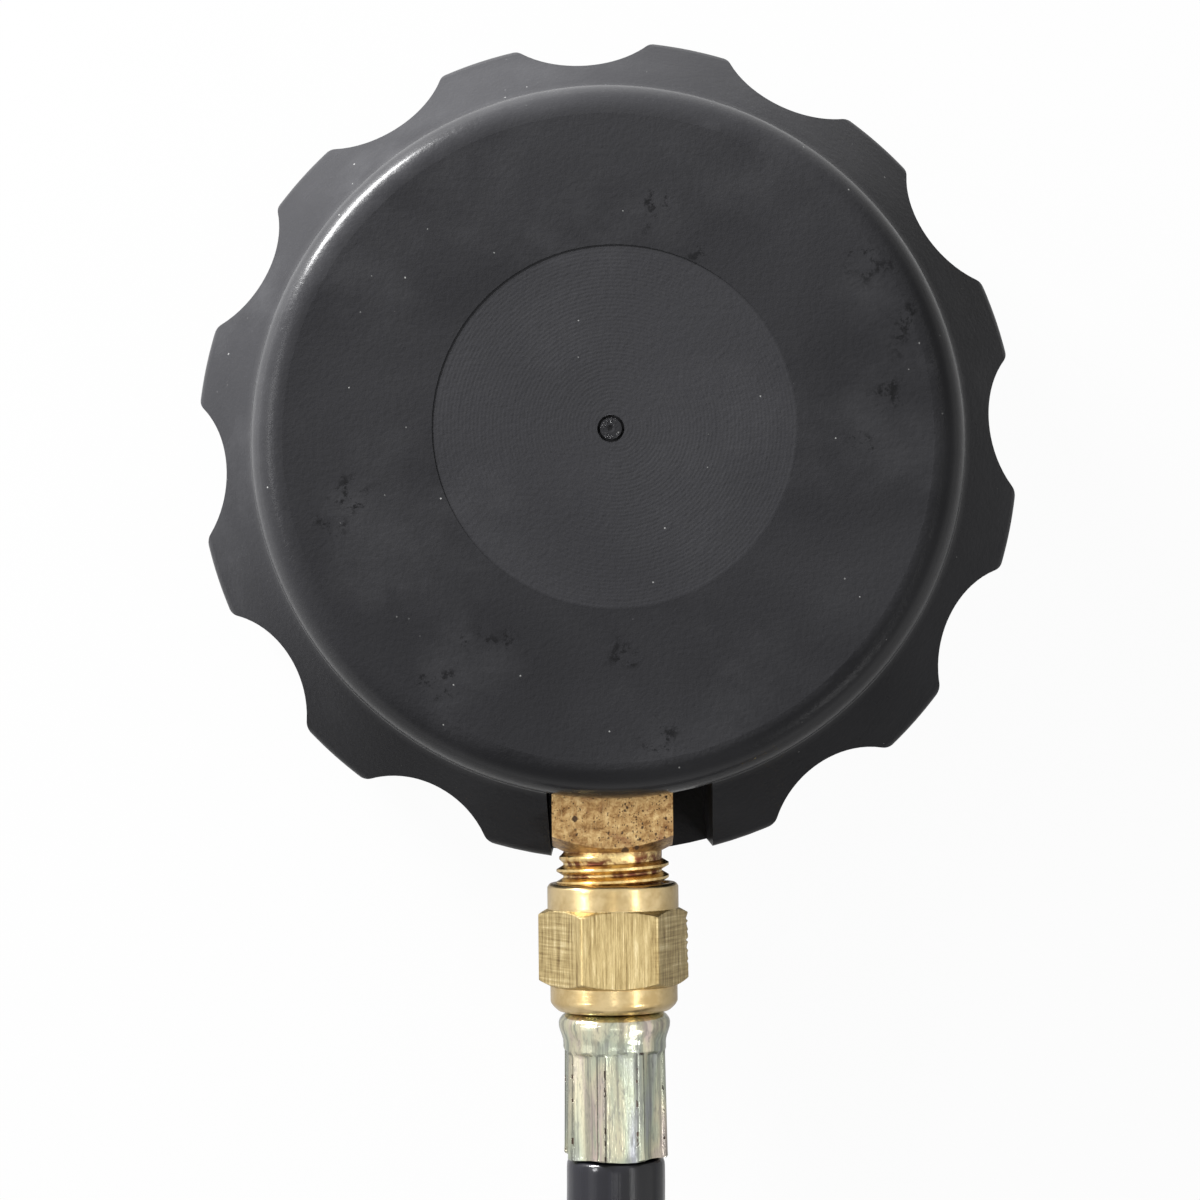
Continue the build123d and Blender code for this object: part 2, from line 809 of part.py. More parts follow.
# Pointer: tapered blade with a round tail, on a brass hub pushed on the arbor
with BuildPart() as pointer:
    with BuildSketch(Plane.XY.offset(pointer_z)):
        with BuildLine():
            side = pointer_zero_angle + 90
            tail_centre = polar(-pointer_tail, pointer_zero_angle)
            Polyline(
                polar(pointer_half_width, side, tail_centre),
                polar(pointer_half_width, side),
                polar(pointer_length, pointer_zero_angle),
                polar(-pointer_half_width, side),
                polar(-pointer_half_width, side, tail_centre),
                close=True,
            )
        make_face()
        with Locations(tail_centre):
            Circle(pointer_tail_r)
        Circle(hub_r)
        Circle(hub_sleeve_r + press_gap, mode=Mode.SUBTRACT)
    extrude(amount=pointer_thickness)
save(pointer, "pointer")

with BuildPart() as hub:
    with BuildSketch(Plane.XY.offset(pointer_z - hub_cap)):
        Circle(hub_r)
    extrude(amount=hub_cap)
    fillet(hub.faces().sort_by(Axis.Z)[0].edges(), hub_cap / 3)
    with BuildSketch(Plane.XY.offset(pointer_z)):
        Circle(hub_sleeve_r)
    extrude(amount=pointer_thickness + hub_sleeve)
    with BuildSketch(Plane.XY.offset(pointer_z)):
        Circle(arbor_r + press_gap)
    extrude(amount=pointer_thickness + hub_sleeve, mode=Mode.SUBTRACT)
save(hub, "pointer_hub")

# Union nut: turned from hexagon bar, threaded at the stem, with a shoulder that draws in the nipple
with BuildPart() as nut:
    with BuildSketch(stem_section):
        with BuildLine():
            corner_r = nut_size / math.sqrt(3)
            Polyline(
                (0, nut_start),
                (nut_size / 2 - nut_chamfer, nut_start),
                (nut_size / 2, nut_start + nut_chamfer),
                (nut_size / 2, nut_hex_start),
                (corner_r, nut_hex_start + (corner_r - nut_size / 2) * chamfer_slope),
                (corner_r, nut_hex_end - (corner_r - nut_rear_collar_r) * chamfer_slope),
                (nut_rear_collar_r, nut_hex_end),
                (nut_rear_collar_r, nut_end - nut_rear_cone),
                (nut_rear_r, nut_end),
                (0, nut_end),
                close=True,
            )
        make_face()
    revolve(axis=stem_axis)
    with BuildSketch(stem_plane(nut_start)):
        RegularPolygon(nut_size / 2, 6, major_radius=False, rotation=nut_turn)
    extrude(amount=nut_end - nut_start, mode=Mode.INTERSECT)
    with BuildSketch(stem_plane(nut_start)):
        Circle(thread_crest_r + seat_gap)
    extrude(amount=nut_face - nut_start, mode=Mode.SUBTRACT)
    with BuildSketch(stem_plane(nut_face)):
        Circle(nipple_r + seat_gap)
    extrude(amount=nut_end - nut_face, mode=Mode.SUBTRACT)
save(nut, "union_nut")

with BuildPart() as washer:
    with BuildSketch(stem_plane(thread_end)):
        Circle(thread_root_r)
        Circle(stem_bore_r, mode=Mode.SUBTRACT)
    extrude(amount=washer_thickness)
save(washer, "seal_washer")


def barbed_tail(start_plane):
    """The turned barbs that hold the hose, from start_plane outwards, as a private solid."""
    step = barb_length / barb_count
    points = [(0, 0)]
    for barb in range(barb_count):
        points.append((barb_r - barb_bite, barb * step))
        points.append((barb_r, barb * step + step / 4))
    points += [(barb_r - barb_bite, barb_length), (0, barb_length)]
    section_plane = Plane(origin=start_plane.origin, x_dir=start_plane.x_dir, z_dir=-start_plane.y_dir)
    with BuildPart() as tail:
        with BuildSketch(section_plane):
            with BuildLine():
                Polyline(*points, close=True)
            make_face()
        revolve(axis=Axis(start_plane.origin, start_plane.z_dir))
    return tail.part


# Nipple: turned steel, its flange drawn against the washer and its barbs in the hose
flange_plane = stem_plane(flange_start)
with BuildPart() as nipple:
    with BuildSketch(flange_plane):
        Circle(nipple_flange_r)
    extrude(amount=nipple_flange)
    with BuildSketch(flange_plane.offset(nipple_flange)):
        Circle(nipple_r)
    extrude(amount=ferrule_start + ferrule_top - flange_end)
    add(barbed_tail(flange_plane.offset(ferrule_start + ferrule_top - flange_start)))
    with BuildSketch(flange_plane):
        Circle(oil_way_r)
    extrude(amount=ferrule_end - flange_start, mode=Mode.SUBTRACT)
save(nipple, "hose_nipple")


def ferrule(neck_plane):
    """A crimped sleeve from neck_plane outwards: bulged neck, then eight pressed flats between ridges."""
    section_plane = Plane(origin=neck_plane.origin, x_dir=neck_plane.x_dir, z_dir=-neck_plane.y_dir)
    with BuildPart() as sleeve:
        with BuildSketch(section_plane):
            with BuildLine():
                outside = Spline(
                    (ferrule_top_r, 0),
                    (ferrule_r, ferrule_bulge / 2),
                    (ferrule_neck_r, ferrule_flat_start - ferrule_neck),
                    tangents=[(1, 0.6), (0, 1)],
                )
                Polyline(
                    outside @ 1,
                    (ferrule_neck_r, ferrule_flat_start),
                    (ferrule_mouth_r, ferrule_length),
                    (hose_crimped_r + running_gap, ferrule_length),
                    (hose_crimped_r + running_gap, ferrule_top),
                    (nipple_r + running_gap, ferrule_top),
                    (nipple_r + running_gap, 0),
                    outside @ 0,
                )
            make_face()
        revolve(axis=Axis(neck_plane.origin, neck_plane.z_dir))
        with BuildSketch(neck_plane.offset(ferrule_flat_start)):
            with PolarLocations(0, ferrule_flats, start_angle=ferrule_turn + 180 / ferrule_flats):
                with Locations((ferrule_flat + ferrule_r / 2, 0)):
                    Rectangle(ferrule_r, ferrule_flat_width)
        extrude(amount=ferrule_length - ferrule_flat_start, mode=Mode.SUBTRACT)
    return sleeve


gauge_ferrule = ferrule(stem_plane(ferrule_start))
save(gauge_ferrule, "gauge_ferrule")

# Hose: one rubber hose, crimped thin in the ferrule, its seen stretch bending down to the coil's top turn.
# Each corner's arc takes the same share of its shorter run.
step_down = (stem_z - coil_high) / 2
hose_levels = (stem_z, stem_z - step_down, coil_high, coil_high)
hose_route = [(0, -ferrule_end, stem_z)]
for (aside, onward), level in zip(hose_corners, hose_levels):
    hose_route.append((aside, -ferrule_end - onward, level))
hose_bends = []
for before, corner, after in zip(hose_route, hose_route[1:], hose_route[2:]):
    run_in = Vector(*corner) - Vector(*before)
    run_out = Vector(*after) - Vector(*corner)
    turn = math.radians(run_in.get_angle(run_out))
    hose_bends.append(bend_share * min(run_in.length, run_out.length) / math.tan(turn / 2))
print("hose bend radii", [round(bend, 1) for bend in hose_bends])

with BuildPart() as hose:
    with BuildLine() as hose_path:
        FilletPolyline(*hose_route, radius=hose_bends)
    with BuildSketch(Plane(origin=hose_route[0], x_dir=(1, 0, 0), z_dir=(0, -1, 0))):
        Circle(hose_r)
    sweep()
    swept_volume = hose.part.volume
    with BuildSketch(Plane(origin=hose_route[0], x_dir=(1, 0, 0), z_dir=(0, 1, 0))):
        Circle(hose_crimped_r)
    extrude(amount=ferrule_length - ferrule_top)
    with BuildSketch(Plane(origin=hose_route[0], x_dir=(1, 0, 0), z_dir=(0, 1, 0))):
        Circle(barb_r + running_gap)
    extrude(amount=ferrule_length - ferrule_top, mode=Mode.SUBTRACT)
save(hose, "hose")
hose_length = hose_path.wire().length
volume_share = swept_volume / (math.pi * hose_r**2 * hose_length)
print("hose run", round(hose_length, 1), "volume share", round(volume_share, 4))

# Coil: a turn and a half of the same hose, a level top arc, a tilted arc down and a level low arc
last_run = Vector(*hose_route[-1]) - Vector(*hose_route[-2])
coil_start_angle = math.degrees(math.atan2(last_run.Y, last_run.X)) - 90
coil_centre = (
    hose_route[-1][0] - coil_r * math.cos(math.radians(coil_start_angle)),
    hose_route[-1][1] - coil_r * math.sin(math.radians(coil_start_angle)),
)
drop_angle = coil_start_angle + coil_top_sweep
low_angle = drop_angle + coil_drop_sweep
coil_end_angle = low_angle + coil_low_sweep
upright = Axis((*coil_centre, 0), (0, 0, 1))
drop_start = Vector(*polar(coil_r, drop_angle), (coil_high - coil_low) / 2)
drop_heading = Vector(*polar(1, drop_angle + 90), 0)
tilted = Axis((*coil_centre, (coil_high + coil_low) / 2), drop_start.cross(drop_heading))
coil_arcs = (
    (coil_start_angle, coil_high, upright, coil_top_sweep),
    (drop_angle, coil_high, tilted, coil_drop_sweep),
    (low_angle, coil_low, upright, coil_low_sweep),
)
coil_end = (*polar(coil_r, coil_end_angle, coil_centre), coil_low)
end_heading = Vector(*polar(1, coil_end_angle + 90), 0)
coil_mouth = Plane(origin=coil_end, x_dir=(0, 0, 1), z_dir=end_heading)
with BuildPart() as coil:
    for start_angle, level, turning_axis, sweep_angle in coil_arcs:
        with BuildSketch(radial_plane(start_angle, coil_centre)):
            with Locations((coil_r, level)):
                Circle(hose_r)
        revolve(axis=turning_axis, revolution_arc=sweep_angle)
    with BuildSketch(coil_mouth):
        Circle(hose_crimped_r)
    extrude(amount=ferrule_length - ferrule_top)
    with BuildSketch(coil_mouth):
        Circle(barb_r + running_gap)
    extrude(amount=ferrule_length - ferrule_top, mode=Mode.SUBTRACT)
save(coil, "hose_coil")
coil_length = math.radians(coil_top_sweep + coil_drop_sweep + coil_low_sweep) * coil_r
crimped_ends = 2 * (ferrule_length - ferrule_top)
print("hose length with its crimped ends", round(hose_length + coil_length + crimped_ends))

# Tie: plastic strap round the coil's two turns with its latch on top
tie_bottom = coil_low - hose_r - running_gap
tie_top = coil_high + hose_r + running_gap
with BuildPart() as tie:
    tie_middle = (coil_r, (tie_bottom + tie_top) / 2)
    tie_plane = radial_plane(tie_angle, coil_centre).offset(-tie_width / 2)
    with BuildSketch(tie_plane):
        with Locations(tie_middle):
            SlotOverall(tie_top - tie_bottom + 2 * tie_wall, 2 * (hose_r + seat_gap + tie_wall), rotation=90)
            SlotOverall(tie_top - tie_bottom, 2 * (hose_r + seat_gap), rotation=90, mode=Mode.SUBTRACT)
    extrude(amount=tie_width)
    with BuildSketch(tie_plane):
        with Locations((coil_r, tie_top + tie_wall + tie_latch / 2 - running_gap)):
            Rectangle(tie_latch, tie_latch)
    extrude(amount=tie_width)
save(tie, "coil_tie")

# Engine end: the same ferrule, and a fitting turned from hexagon bar with its thread for the oil gallery
neck_place = Vector(*coil_end) + end_heading * ferrule_length
engine_ferrule = ferrule(Plane(origin=neck_place, x_dir=(0, 0, 1), z_dir=-end_heading))
save(engine_ferrule, "engine_ferrule")

fitting_plane = Plane(origin=neck_place, x_dir=(0, 0, 1), z_dir=end_heading)
fitting_section = Plane(origin=neck_place, x_dir=(0, 0, 1), z_dir=-fitting_plane.y_dir)
barb_plane = Plane(origin=neck_place - end_heading * ferrule_top, x_dir=(0, 0, 1), z_dir=-end_heading)
with BuildPart() as fitting:
    with BuildSketch(fitting_section):
        with BuildLine():
            hex_corner_r = fitting_hex / math.sqrt(3)
            hex_start = running_gap
            hex_end = hex_start + fitting_hex_length
            collar_end = hex_end + fitting_collar
            thread_tip = collar_end + fitting_thread
            Polyline(
                (0, hex_start),
                (fitting_hex / 2, hex_start),
                (hex_corner_r, hex_start + (hex_corner_r - fitting_hex / 2) * chamfer_slope),
                (hex_corner_r, hex_end - (hex_corner_r - fitting_hex / 2) * chamfer_slope),
                (fitting_hex / 2, hex_end),
                (fitting_collar_r, hex_end),
                (fitting_collar_r, collar_end),
                (fitting_thread_r, collar_end),
                (fitting_thread_r, thread_tip - fitting_chamfer),
                (fitting_thread_r - fitting_chamfer, thread_tip),
                (0, thread_tip),
                close=True,
            )
        make_face()
    revolve(axis=Axis(fitting_plane.origin, fitting_plane.z_dir))
    with BuildSketch(fitting_plane):
        RegularPolygon(fitting_hex / 2, 6, major_radius=False, rotation=fitting_turn)
    extrude(amount=thread_tip, mode=Mode.INTERSECT)
    with BuildSketch(fitting_plane.offset(running_gap)):
        Circle(nipple_r)
    extrude(amount=-ferrule_top - running_gap)
    add(barbed_tail(barb_plane))
    with BuildSketch(fitting_plane.offset(-ferrule_length)):
        Circle(oil_way_r)
    extrude(amount=ferrule_length + thread_tip, mode=Mode.SUBTRACT)
save(fitting, "engine_fitting")
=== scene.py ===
import math

import bpy
import numpy as np
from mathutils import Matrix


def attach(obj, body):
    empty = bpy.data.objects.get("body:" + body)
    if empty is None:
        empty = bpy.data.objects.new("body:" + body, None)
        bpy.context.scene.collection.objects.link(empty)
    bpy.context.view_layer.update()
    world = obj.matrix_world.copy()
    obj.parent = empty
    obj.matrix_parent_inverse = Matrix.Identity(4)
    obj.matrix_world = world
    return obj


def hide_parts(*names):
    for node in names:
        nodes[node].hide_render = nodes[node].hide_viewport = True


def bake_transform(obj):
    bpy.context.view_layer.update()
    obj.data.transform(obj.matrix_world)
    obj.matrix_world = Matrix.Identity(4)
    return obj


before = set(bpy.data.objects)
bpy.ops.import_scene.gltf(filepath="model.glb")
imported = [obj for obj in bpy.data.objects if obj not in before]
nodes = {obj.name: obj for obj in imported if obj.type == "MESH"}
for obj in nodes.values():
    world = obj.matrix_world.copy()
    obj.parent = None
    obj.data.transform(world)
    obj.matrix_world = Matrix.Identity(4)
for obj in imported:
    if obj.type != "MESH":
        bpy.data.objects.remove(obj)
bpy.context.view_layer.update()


# View: the tester lies on its dial side, and the camera looks down on it from over the stem.
# The hose leaves at the bottom of the picture; its coil lies outside the view.
camera_data = bpy.data.cameras.new("view")
camera_data.lens = 84.15
camera = bpy.data.objects.new("view", camera_data)
camera.location = (-0.0023, -0.0311, 0.3673)
camera.rotation_euler = [math.radians(turn) for turn in (2.071, -0.166, -0.659)]
bpy.context.collection.objects.link(camera)
bpy.context.scene.camera = camera
bpy.context.scene.view_settings.view_transform = "Standard"


# Studio: a white table and white surroundings, with soft rectangular lamps over the table.
# The lens and the glass see plain white. Polished faces mirror the surroundings white and the table grey,
# and the table keeps the object's shadow.
class Wire:
    """A value on its way through a finish. Sums and products of wires add the Math nodes for them."""

    def __init__(self, finish, socket):
        self.finish = finish
        self.socket = socket

    def work(self, operation, *terms):
        return self.finish.node("ShaderNodeMath", {"operation": operation}, dict(enumerate(terms)))

    def __add__(self, other):
        return self.work("ADD", self, other)

    def __sub__(self, other):
        return self.work("SUBTRACT", self, other)

    def __rsub__(self, other):
        return self.work("SUBTRACT", other, self)

    def __mul__(self, other):
        return self.work("MULTIPLY", self, other)

    def __pow__(self, other):
        return self.work("POWER", self, other)

    __radd__ = __add__
    __rmul__ = __mul__

    def rise(self, low, high):
        """0 below low, 1 above high and a smooth step between. It falls where low is the larger."""
        return self.finish.node(
            "ShaderNodeMapRange",
            {"interpolation_type": "SMOOTHSTEP"},
            {"Value": self, "From Min": low, "From Max": high},
        )


class Finish:
    """The nodes of one material, or of the surroundings. node() adds every one but the last."""

    def __init__(self, holder):
        self.holder = holder
        holder.use_nodes = True
        self.tree = holder.node_tree
        self.tree.nodes.clear()

    def node(self, kind, settings=None, sockets=None, out=0):
        made = self.tree.nodes.new(kind)
        for key, value in (settings or {}).items():
            if key == "stops":
                stops = made.color_ramp.elements
                for index, (place, colour) in enumerate(value):
                    stop = stops[index] if index < 2 else stops.new(place)
                    stop.position = place
                    stop.color = (*colour, 1)
            else:
                setattr(made, key, value)
        for key, value in (sockets or {}).items():
            socket = made.inputs[key]
            if isinstance(value, Wire):
                self.tree.links.new(value.socket, socket)
            elif socket.type == "RGBA" and len(value) == 3:
                socket.default_value = (*value, 1)
            else:
                socket.default_value = value
        return Wire(self, made.outputs[out])

    def place(self):
        """Where a point lies on the piece, in metres."""
        return self.node("ShaderNodeTexCoord", out="Object")

    def stretched(self, vector, x, y, z):
        return self.node("ShaderNodeVectorMath", {"operation": "MULTIPLY"}, {0: vector, 1: (x, y, z)})

    def split(self, vector):
        return [self.node("ShaderNodeSeparateXYZ", None, {0: vector}, axis) for axis in "XYZ"]

    def noise(self, vector, scale, detail=4.0, roughness=0.5, distortion=0.0):
        sockets = {"Vector": vector, "Scale": scale, "Detail": detail}
        sockets |= {"Roughness": roughness, "Distortion": distortion}
        return self.node("ShaderNodeTexNoise", None, sockets)

    def blend(self, share, first, second):
        """The first colour where share is 0 and the second where it is 1."""
        return self.node("ShaderNodeMix", {"data_type": "RGBA"}, {0: share, 6: first, 7: second}, 2)

    def ramp(self, value, *stops):
        return self.node("ShaderNodeValToRGB", {"stops": stops}, {"Fac": value})

    def bump(self, height, distance, strength=1.0, under=None):
        sockets = {"Height": height, "Distance": distance, "Strength": strength}
        if under:
            sockets["Normal"] = under
        return self.node("ShaderNodeBump", None, sockets)

    def specks(self, vector, scale, share, low, high):
        """Small round spots, one in some of the cells of a field of cells: 1 inside a spot."""
        cell = {"Vector": vector, "Scale": scale}
        near = self.node("ShaderNodeTexVoronoi", None, cell, "Distance").rise(high, low)
        chance = self.split(self.node("ShaderNodeTexVoronoi", None, cell, "Color"))[0]
        return near * chance.work("GREATER_THAN", chance, 1 - share)

    def done(self, **sockets):
        """Closes the material with its surface shader, whose sockets are named with underscores."""
        named = {key.replace("_", " "): value for key, value in sockets.items()}
        self.node_out(self.node("ShaderNodeBsdfPrincipled", None, named))

    def node_out(self, surface):
        of_room = isinstance(self.holder, bpy.types.World)
        made = self.tree.nodes.new("ShaderNodeOutputWorld" if of_room else "ShaderNodeOutputMaterial")
        self.tree.links.new(surface.socket, made.inputs["Surface"])


def tone(red, green, blue):
    """A colour written as it is seen, 0 to 255, as the light that it gives back."""
    seen = np.array([red, green, blue]) / 255
    return tuple(np.where(seen <= 0.04045, seen / 12.92, ((seen + 0.055) / 1.055) ** 2.4))


def new_finish(name):
    return Finish(bpy.data.materials.new(name))


def dress(material, *names):
    """Gives CAD nodes their material."""
    for name in names:
        for slot in nodes[name].material_slots:
            slot.material = material


def seen_white(finish, mirrored=1.0):
    """1 for what the lens or glass sees, mirrored for what a polished face sees, 0 for what only lights."""
    path = finish.tree.nodes.new("ShaderNodeLightPath")
    rays = [Wire(finish, path.outputs[f"Is {kind} Ray"]) for kind in ("Camera", "Transmission", "Glossy")]
    seen = rays[0] + rays[1] + rays[2] * mirrored
    return seen.work("MINIMUM", seen, 1.0)


room_light = 0.08
world = bpy.data.worlds.new("room")
bpy.context.scene.world = world
room = Finish(world)
room_strength = seen_white(room) * (1 - room_light) + room_light
room.node_out(room.node("ShaderNodeBackground", None, {"Color": (1, 1, 1), "Strength": room_strength}))

table_half = 1.5
table_z = -0.00002
table_show = 0.965
table_mirrored = 0.35
table_mesh = bpy.data.meshes.new("table")
corners = np.array([(-1, -1), (1, -1), (1, 1), (-1, 1)]) * table_half
table_mesh.from_pydata([(x, y, table_z) for x, y in corners], [], [(0, 1, 2, 3)])
table = bpy.data.objects.new("table", table_mesh)
bpy.context.collection.objects.link(table)
cloth = new_finish("table_white")
table_grain = cloth.noise(cloth.place(), 40.0)
table_tone = cloth.blend(table_grain, (0.44, 0.44, 0.44), (0.48, 0.48, 0.48))
lit = cloth.node("ShaderNodeBsdfPrincipled", None, {"Base Color": table_tone, "Roughness": 0.9})
glow = cloth.node("ShaderNodeEmission", None, {"Color": (1, 1, 1), "Strength": 1.0})
glowing = seen_white(cloth, table_mirrored) * table_show
cloth.node_out(cloth.node("ShaderNodeMixShader", None, {0: glowing, 1: lit, 2: glow}))
table_mesh.materials.append(cloth.holder)


lamp_reach = 0.75
lamp_aim = (0.0, -0.02, 0.02)


def softbox(name, towards, height, wide, tall, power):
    """A lamp at lamp_reach from the aim. towards is its direction round the object and height its angle over
    the table, in degrees; wide and tall are its sides in metres and power is in watts."""
    lamp = bpy.data.lights.new(name, "AREA")
    lamp.shape = "RECTANGLE"
    lamp.size = wide
    lamp.size_y = tall
    lamp.energy = power
    holder = bpy.data.objects.new(name, lamp)
    level = math.cos(math.radians(height))
    line = (
        level * math.cos(math.radians(towards)),
        level * math.sin(math.radians(towards)),
        math.sin(math.radians(height)),
    )
    holder.location = [start + lamp_reach * part for start, part in zip(lamp_aim, line)]
    holder.rotation_euler = type(holder.location)(line).to_track_quat("Z", "Y").to_euler()
    bpy.context.collection.objects.link(holder)


softbox("left_box", 180, 30, 0.60, 0.30, 0.3)
softbox("right_box", 0, 51, 0.60, 0.05, 0.65)
softbox("stem_box", 270, 78, 0.05, 0.14, 0.08)
softbox("left_strip", 132, 12, 0.28, 0.08, 24.0)
softbox("right_strip", 318, 36, 0.20, 0.06, 1.1)
softbox("shoulder_strip", 168, 38, 0.26, 0.07, 2.3)


# Hose: one length of smooth black oil hose, its ends crimped in the two ferrules, the spare length
# wound to a turn and a half. The extruded cover has faint lines along it, and paler bluish streaks in them
# are painted sheen.
stem_z = 0.024
hose_d = 0.012
hose_exit = (0.0, -0.08635, stem_z)
hose_points = [
    hose_exit,
    (0.0, -0.10735, stem_z),
    (-0.0058, -0.12755, 0.0224),
    (-0.0169, -0.14535, 0.0208),
    (-0.028, -0.16315, 0.0208),
]
coil_r = 0.06
coil_x = 0.022912
coil_y = -0.194899
coil_low = 0.007
coil_high = 0.0208
coil_start = 148.05
coil_sweeps = (207.0, 180.0, 185.0)
points_a_turn = 24
turn_step = 360 / points_a_turn
bow = math.radians(turn_step)
control_r = 2 * coil_r / (math.cos(bow / 2) + 0.75 + 0.25 * math.cos(bow))
turn = turn_step
while turn < sum(coil_sweeps) - turn_step / 2:
    dropped = min(max(turn - coil_sweeps[0], 0), coil_sweeps[1])
    level = (coil_high + coil_low) / 2 + (coil_high - coil_low) / 2 * math.cos(math.radians(dropped))
    heading = math.radians(coil_start + turn)
    point_x = coil_x + control_r * math.cos(heading)
    point_y = coil_y + control_r * math.sin(heading)
    hose_points.append((point_x, point_y, level))
    turn += turn_step
far_end_x = 0.082912
far_end_y = -0.1948435
far_straight = 0.0064565
hose_points.append((far_end_x, far_end_y - far_straight, coil_low))
hose_points.append((far_end_x, far_end_y, coil_low))

route = bpy.data.curves.new("hose_route", "CURVE")
route.dimensions = "3D"
route.resolution_u = 12
spline = route.splines.new("NURBS")
spline.points.add(len(hose_points) - 1)
for point, where in zip(spline.points, hose_points):
    point.co = (*where, 1)
spline.order_u = 3
spline.use_endpoint_u = True
route_object = bpy.data.objects.new("hose_route", route)
route_mesh = bpy.data.meshes.new_from_object(route_object)
hose_line = np.empty(3 * len(route_mesh.vertices))
route_mesh.vertices.foreach_get("co", hose_line)
hose_line = hose_line.reshape(-1, 3)
bpy.data.objects.remove(route_object)
bpy.data.curves.remove(route)
bpy.data.meshes.remove(route_mesh)


sharp_edge = math.radians(35)


def sewn(name, grid, body, finish, along=False, marks=None):
    """A mesh over a grid of places, row after row, with the last column joined to the first. along joins the
    last row to the first, and without it the first and last rows are closed. Faces are turned so that the
    volume is positive. marks are values at the places. A piece without a body is left unattached."""
    rows, columns = grid.shape[:2]
    count = np.arange(rows * columns).reshape(rows, columns)
    count = np.hstack([count, count[:, :1]])
    if along:
        count = np.vstack([count, count[:1]])
    quads = np.stack([count[:-1, :-1], count[:-1, 1:], count[1:, 1:], count[1:, :-1]], -1).reshape(-1, 4)
    places = grid.reshape(-1, 3)
    faces = quads.tolist()
    if not along:
        faces += [np.arange(columns)[::-1].tolist(), (np.arange(columns) + (rows - 1) * columns).tolist()]
    middle = places.mean(0)
    edge_a = places[quads[:, 1]] - middle
    edge_b = places[quads[:, 2]] - middle
    edge_c = places[quads[:, 3]] - middle
    first = places[quads[:, 0]] - middle
    volume = (np.cross(first, edge_a) * edge_b).sum() + (np.cross(first, edge_b) * edge_c).sum()
    if volume < 0:
        faces = [face[::-1] for face in faces]
    mesh = bpy.data.meshes.new(name)
    mesh.from_pydata(places.tolist(), [], faces)
    mesh.polygons.foreach_set("use_smooth", [True] * len(mesh.polygons))
    mesh.set_sharp_from_angle(angle=sharp_edge)
    for mark, values in (marks or {}).items():
        kind = "FLOAT_VECTOR" if values.ndim == 3 else "FLOAT"
        layer = mesh.attributes.new(mark, kind, "POINT")
        layer.data.foreach_set("vector" if values.ndim == 3 else "value", values.astype(np.float32).ravel())
    mesh.materials.append(finish)
    piece = bpy.data.objects.new(name, mesh)
    bpy.context.collection.objects.link(piece)
    if body:
        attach(piece, body)
    return piece


def distances(line):
    """How far along the line each of its points lies: the sum of the steps before it."""
    return np.r_[0, np.cumsum(np.linalg.norm(np.diff(line, axis=0), axis=1))]


def hose_surface(line, radius, columns=56):
    """A tube: each point of the line carries a ring of the radius, square to the line, whose first direction
    is level. Two cosines round the ring stand for the lines of the extruder, and towards each end the ring
    shrinks as the edge's rounding does, by an exponential. The second grid is the same tube laid straight."""
    step = np.gradient(line, axis=0)
    step /= np.linalg.norm(step, axis=1)[:, None]
    aside = np.cross(step, (0, 0, 1.0))
    aside /= np.linalg.norm(aside, axis=1)[:, None]
    above = np.cross(aside, step)
    gone = distances(line)
    angle = np.linspace(0, 2 * np.pi, columns, endpoint=False)
    waves = 0.004 * np.cos(5 * angle + 0.7) + 0.003 * np.cos(9 * angle + 2.1) - 0.004
    nearness = np.exp(-gone / hose_edge_round) + np.exp(-(gone[-1] - gone) / hose_edge_round)
    ring_r = radius * (1 + waves[None, :]) * (1 - hose_edge_drop * nearness[:, None])
    spread = np.cos(angle)[None, :, None] * aside[:, None] + np.sin(angle)[None, :, None] * above[:, None]
    straight = np.stack(
        [
            np.broadcast_to(radius * np.cos(angle), ring_r.shape),
            np.broadcast_to(radius * np.sin(angle), ring_r.shape),
            np.broadcast_to(gone[:, None], ring_r.shape),
        ],
        -1,
    )
    return line[:, None] + spread * ring_r[..., None], straight


hose_edge_round = 0.00025
hose_edge_drop = 0.13
ring_step = 0.0016
edge_steps = np.array([0, 0.0002, 0.0004, 0.0007, 0.0011])
hose_gone = distances(hose_line)
hose_length = float(hose_gone[-1])
hose_stations = np.r_[edge_steps, np.arange(ring_step, hose_length - ring_step, ring_step)]
hose_stations = np.r_[hose_stations, hose_length - edge_steps[::-1]]
hose_rings = np.stack([np.interp(hose_stations, hose_gone, hose_line[:, axis]) for axis in range(3)], -1)
hose_grid, hose_straight = hose_surface(hose_rings, hose_d / 2)

rubber = new_finish("hose_rubber")
straight = rubber.node("ShaderNodeAttribute", {"attribute_name": "straight"}, out="Vector")
draw_lines = rubber.noise(rubber.stretched(straight, 900, 900, 9), 1.0, 3.0, 0.6)
broad_lines = rubber.noise(rubber.stretched(straight, 260, 260, 6), 1.0, 3.0, 0.6)
# painted sheen: paler bluish streaks along the lines stand in for the hose's reflections
painted_sheen = broad_lines.rise(0.52, 0.72) * draw_lines.rise(0.35, 0.65)
cover_pits = rubber.noise(straight, 2600.0, 3.0)
hose_colour = rubber.blend(painted_sheen * 0.7, tone(17, 17, 23), tone(54, 54, 70))
hose_relief = rubber.bump(draw_lines + cover_pits * 0.25, 0.00007, 0.7)
rubber.done(
    Base_Color=hose_colour,
    Roughness=broad_lines * 0.14 + 0.14,
    Normal=hose_relief,
    Specular_IOR_Level=0.42,
)
hose = sewn("oil_hose", hose_grid, "gauge", rubber.holder, marks={"straight": hose_straight})
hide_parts("hose", "hose_coil")


